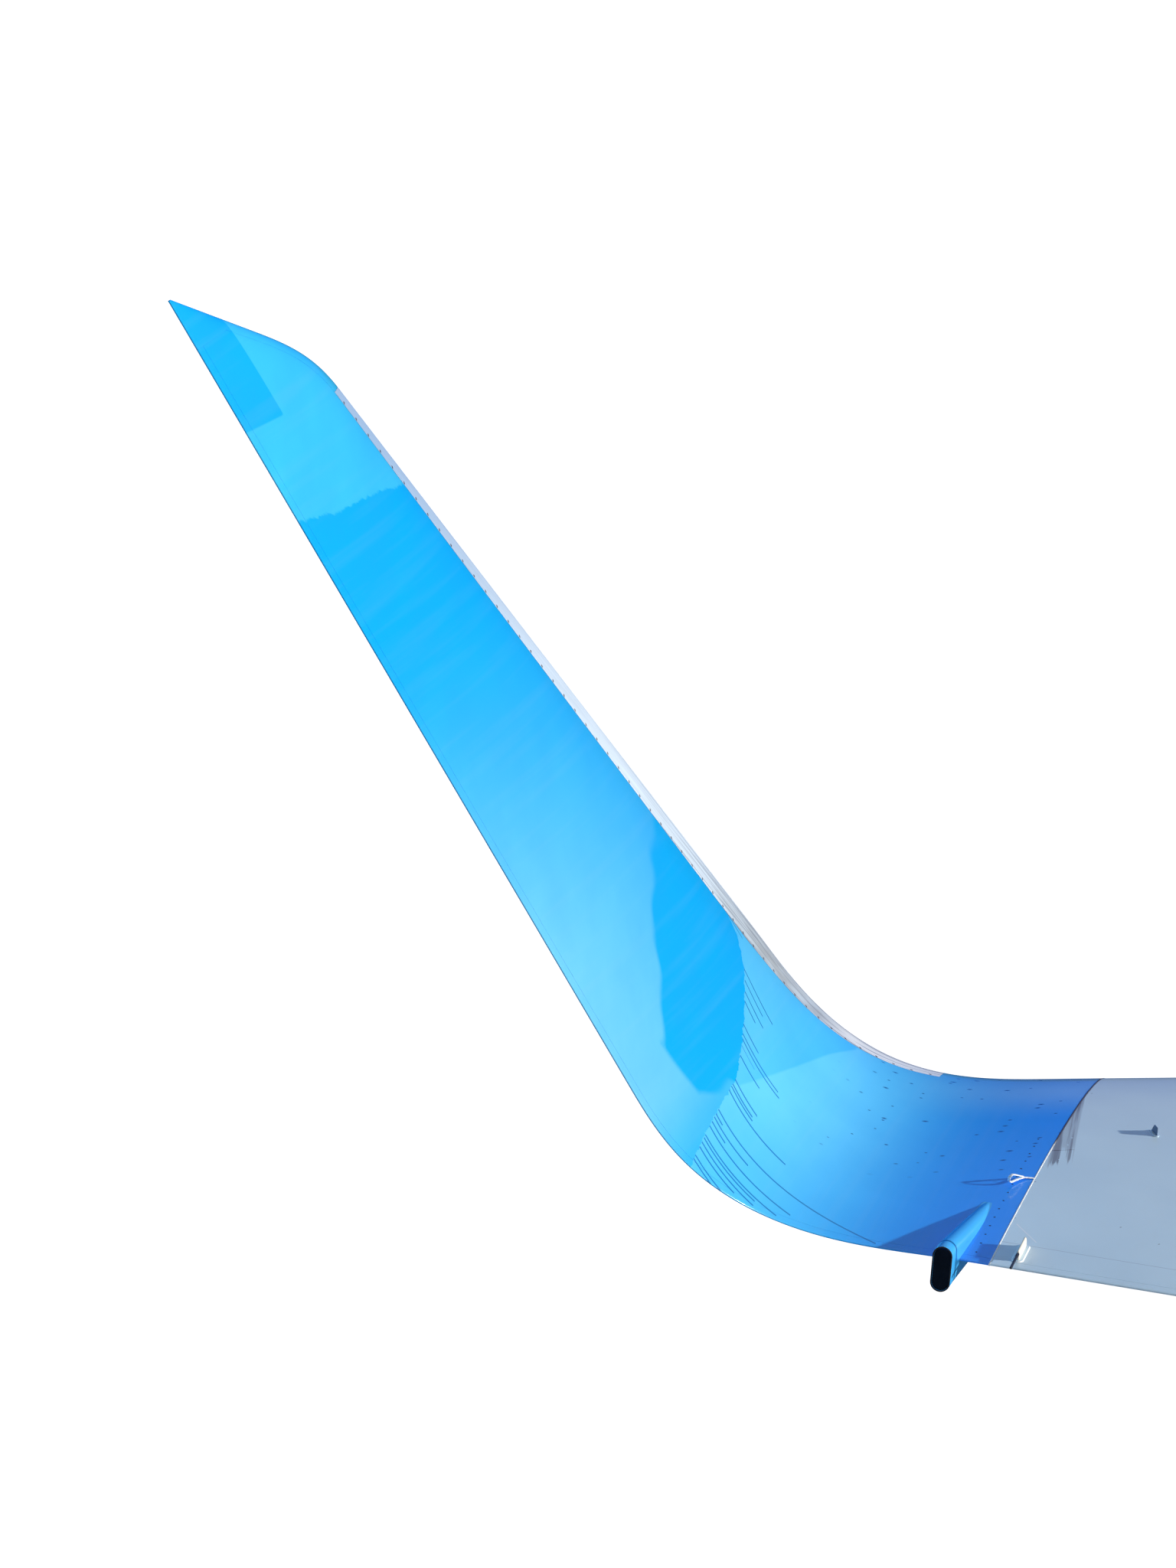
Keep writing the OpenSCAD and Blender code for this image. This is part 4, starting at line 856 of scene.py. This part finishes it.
# STATIC DISCHARGER
# A cream-painted upright holder on a grey foot, bonded to the wing's rear edge, with a black carbon rod.
# White sealant runs round the foot.
wick_s = -0.055
wick_len, wick_foot_w = 0.092, 0.022
holder_len, holder_w = 0.081, 0.008
rod_up = 0.017
clean_plan = (-0.3, 1.3, 0.08)
wick_aft = trailing(wick_s) + 0.030
wick_u = (leading(wick_s) - wick_aft - np.array((0.0, wick_len))) / chord(wick_s)
wick_z = half(wick_s, wick_u)
wick_rise = wick_z[1] - wick_z[0]
wick_along = np.array((wick_len, 0, wick_rise)) / np.hypot(wick_len, wick_rise)
wick_up = np.array((-wick_along[2], 0, wick_along[0]))
wick_mid = np.array((wick_aft + wick_len / 2, stub_len + wick_s, wick_z.mean()))


def slot_rings(middle, along, up, length, width, rise, inset, shift=0.0, count=48):
    """Rings of a round-ended bar: r cos a, r sin a parted by its straight part, inset at each rise."""
    a = (np.arange(count) + 0.5) * 2 * np.pi / count
    length, rise, inset, shift = (np.asarray(v, float)[..., None] for v in (length, rise, inset, shift))
    r = width / 2 - inset
    x = r * np.cos(a) + (length - width) / 2 * np.sign(np.cos(a)) + shift
    y = r * np.sin(a)
    side = np.cross(up, along)
    return middle + x[..., None] * along + y[..., None] * side + (rise + 0 * a)[..., None] * up


# Cream enamel, brushed on by hand: matt and a little uneven.
cream, shade = new_finish("cream_paint")
solid_place = add(cream, "TexCoord")["Object"]
grain = add(cream, "TexNoise", {"Vector": solid_place, "Scale": 1000 / 7, "Detail": 4.0})[0]
tint = add(cream, "Mix", {0: grain, 6: linear("#cfc6b4"), 7: linear("#efe8d8")}, data_type="RGBA")[2]
rough = add(cream, "MapRange", {"Value": grain, "To Min": 0.45, "To Max": 0.7})[0]
cream.node_tree.links.new(tint, shade["Base Color"])
cream.node_tree.links.new(rough, shade["Roughness"])

rise = np.array((2.6, 16, 21, 23, 24)) / 1000
inset = np.array((0, 0.2, 0.8, 1.8, 3.2)) / 1000
holder = slot_rings(wick_mid, wick_along, wick_up, holder_len, holder_w, rise, inset)
piece = solid("visual_discharger_base", holder, cream)
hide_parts("discharger_base")
rise = np.array((0.2, 1.8, 2.4, 2.5)) / 1000
inset = np.array((0, 0, 0.4, 1.4)) / 1000
foot = slot_rings(wick_mid, wick_along, wick_up, wick_len, wick_foot_w, rise, inset)
piece = solid("discharger_foot", foot, grey, plan=clean_plan)
rise = np.array((0.2, 0.7, 1.6, 2.2, 0.2)) / 1000
inset = np.array((-2.6, -2.0, -0.9, -0.1, -0.1)) / 1000
fillet = slot_rings(wick_mid, wick_along, wick_up, wick_len, wick_foot_w, rise, inset)
piece = solid("discharger_sealant", fillet.transpose(1, 0, 2), sealant, loop=True, plan=fresh_plan)

# Carbon fibre rod, pultruded: black, with a fine grain that breaks its shine.
# The grain is drawn 2.5 mm wide, coarser than the real fibres, which are too fine to show.
carbon, shade = new_finish("carbon_rod")
solid_place = add(carbon, "TexCoord")["Object"]
weave = add(carbon, "TexNoise", {"Vector": solid_place, "Scale": 1000 / 2.5, "Detail": 2.0})[0]
tint = add(carbon, "Mix", {0: weave, 6: linear("#0d0e10"), 7: linear("#26282c")}, data_type="RGBA")[2]
rough = add(carbon, "MapRange", {"Value": weave, "To Min": 0.35, "To Max": 0.6})[0]
carbon.node_tree.links.new(tint, shade["Base Color"])
carbon.node_tree.links.new(rough, shade["Roughness"])

a = np.linspace(0, 2 * np.pi, 24, endpoint=False)
along = np.array((-0.0400, -0.0415, -0.0530, -0.0540, -0.1145, -0.1160))[:, None]
radius = np.array((0.0036, 0.0038, 0.0038, 0.0030, 0.0030, 0.0018))[:, None]
out = radius * np.cos(a)
high = rod_up + radius * np.sin(a)
rod = wick_mid + (along + 0 * a)[..., None] * wick_along + out[..., None] * (0, 1, 0)
rod = rod + high[..., None] * wick_up
piece = solid("visual_discharger_rod", rod, carbon)
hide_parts("discharger_rod")


# FLOW VANE
# A small raked fin whose darker paint is painted shade, on a flat grey foot that is bonded to the wing's
# upper skin.
# It stands 29 degrees to the air stream.
vane_s, vane_back = -0.2, 0.61
vane_len, vane_t, vane_rake = 0.040, 0.0025, 0.86
vane_foot_len, vane_foot_w = 0.046, 0.012
vane_turn = np.radians(29)
vane_u = vane_back / chord(vane_s)
vane_mid = at(vane_s, vane_u, half(vane_s, vane_u))
ahead = at(vane_s, vane_u - 0.01, half(vane_s, vane_u - 0.01)) - vane_mid
ahead /= np.linalg.norm(ahead)
vane_up = np.cross(ahead, (0, 1, 0))
vane_along = np.cos(vane_turn) * ahead + np.sin(vane_turn) * np.array((0, 1, 0))
rise = np.array((0.2, 1.4, 1.9, 2.0)) / 1000
inset = np.array((0, 0, 0.4, 1.2)) / 1000
foot = slot_rings(vane_mid, vane_along, vane_up, vane_foot_len, vane_foot_w, rise, inset)
rise = np.array((2.05, 4, 8, 12, 16, 19, 20.6, 21)) / 1000
inset = np.array((0, 0, 0, 0, 0, 0.1, 0.5, 1.0)) / 1000
rear = -vane_len / 2
front = vane_len / 2 - vane_rake * rise
fin = slot_rings(vane_mid, vane_along, vane_up, front - rear, vane_t, rise, inset, (front + rear) / 2)

# Slate grey enamel, sprayed, duller than the wing's paint; its darker colour is painted shade on the fin.
vane_shade_paint, shade = new_finish("vane_painted_shade")
solid_place = add(vane_shade_paint, "TexCoord")["Object"]
cloud = add(vane_shade_paint, "TexNoise", {"Vector": solid_place, "Scale": 1000 / 9, "Detail": 4.0})[0]
tint = add(vane_shade_paint, "Mix", {0: cloud, 6: linear("#4f6480"), 7: linear("#667c98")}, data_type="RGBA")[2]
rough = add(vane_shade_paint, "MapRange", {"Value": cloud, "To Min": 0.4, "To Max": 0.6})[0]
vane_shade_paint.node_tree.links.new(tint, shade["Base Color"])
vane_shade_paint.node_tree.links.new(rough, shade["Roughness"])

piece = solid("visual_flow_vane", fin, vane_shade_paint)
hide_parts("flow_vane")
piece = solid("flow_vane_foot", foot, grey, plan=clean_plan)


# FLOOR, LIGHT AND CAMERA
# A pale apron far below the wing, a low sun from inboard and a little ahead, and an even sky.
# The camera stands behind and inboard of the wing with a long lens.
floor_z = -3.2
reach = 150.0
white = (1.0, 1.0, 1.0, 1.0)
ambient = (0.22, 0.24, 0.28, 1.0)
sun_way = (0.167, -0.949, 0.267)
corners = ((-reach, -reach), (reach, -reach), (reach, reach), (-reach, reach))
mesh = bpy.data.meshes.new("floor")
mesh.from_pydata([(x, y, floor_z) for x, y in corners], [], [(0, 1, 2, 3)])
floor = bpy.data.objects.new("floor", mesh)
bpy.context.scene.collection.objects.link(floor)

# Pale concrete, floated smooth: plain and matt, white to the camera and dark in the paint's reflections.
apron = bpy.data.materials.new("apron")
apron.use_nodes = True
rays = add(apron, "LightPath")
plain = apron.node_tree.nodes["Principled BSDF"]
plain.inputs["Base Color"].default_value = linear("#f2f2f2")
plain.inputs["Roughness"].default_value = 0.9
glow = add(apron, "Math", {0: rays["Is Camera Ray"], 1: 0.55}, operation="MULTIPLY")[0]
apron.node_tree.links.new(glow, plain.inputs["Emission Strength"])
plain.inputs["Emission Color"].default_value = white
dark = add(apron, "Emission", {"Color": linear("#1f3a56"), "Strength": 1.0})[0]
mixed = add(apron, "MixShader", {0: rays["Is Glossy Ray"], 1: plain.outputs[0], 2: dark})[0]
apron.node_tree.links.new(mixed, apron.node_tree.nodes["Material Output"].inputs["Surface"])
mesh.materials.append(apron)

# An even sky that the camera sees as white and glossy paint as blue, paler overhead.
world = bpy.data.worlds.new("sky")
world.use_nodes = True
bpy.context.scene.world = world
rays = add(world, "LightPath")
height = add(world, "SeparateXYZ", {0: add(world, "TexCoord")["Generated"]})[2]
rise = add(world, "MapRange", {"Value": height, "From Min": 0.3, "From Max": 1.0})[0]
sky = add(world, "Mix", {0: rise, 6: linear("#0a5cd0"), 7: linear("#b9d4f6")}, data_type="RGBA")[2]
even = add(world, "Mix", {0: rays["Is Glossy Ray"], 6: ambient, 7: sky}, data_type="RGBA")[2]
seen = add(world, "Mix", {0: rays["Is Camera Ray"], 6: even, 7: white}, data_type="RGBA")[2]
world.node_tree.links.new(seen, world.node_tree.nodes["Background"].inputs["Color"])

sun = bpy.data.lights.new("sun", "SUN")
sun.energy = 4.6
sun.angle = np.radians(1.5)
sun.color = (1.0, 0.98, 0.95)
lamp = bpy.data.objects.new("sun", sun)
lamp.rotation_euler = Vector(sun_way).to_track_quat("Z", "Y").to_euler()
bpy.context.scene.collection.objects.link(lamp)

lens = bpy.data.cameras.new("camera")
lens.lens = 224.196
lens.sensor_width = 36.0
lens.clip_end = 500.0
camera = bpy.data.objects.new("camera", lens)
camera.location = (-20.8571, -2.9085, 6.9812)
camera.rotation_euler = np.radians((73.499, -4.666, -76.192))
bpy.context.scene.collection.objects.link(camera)
bpy.context.scene.camera = camera
bpy.context.scene.view_settings.view_transform = "Standard"
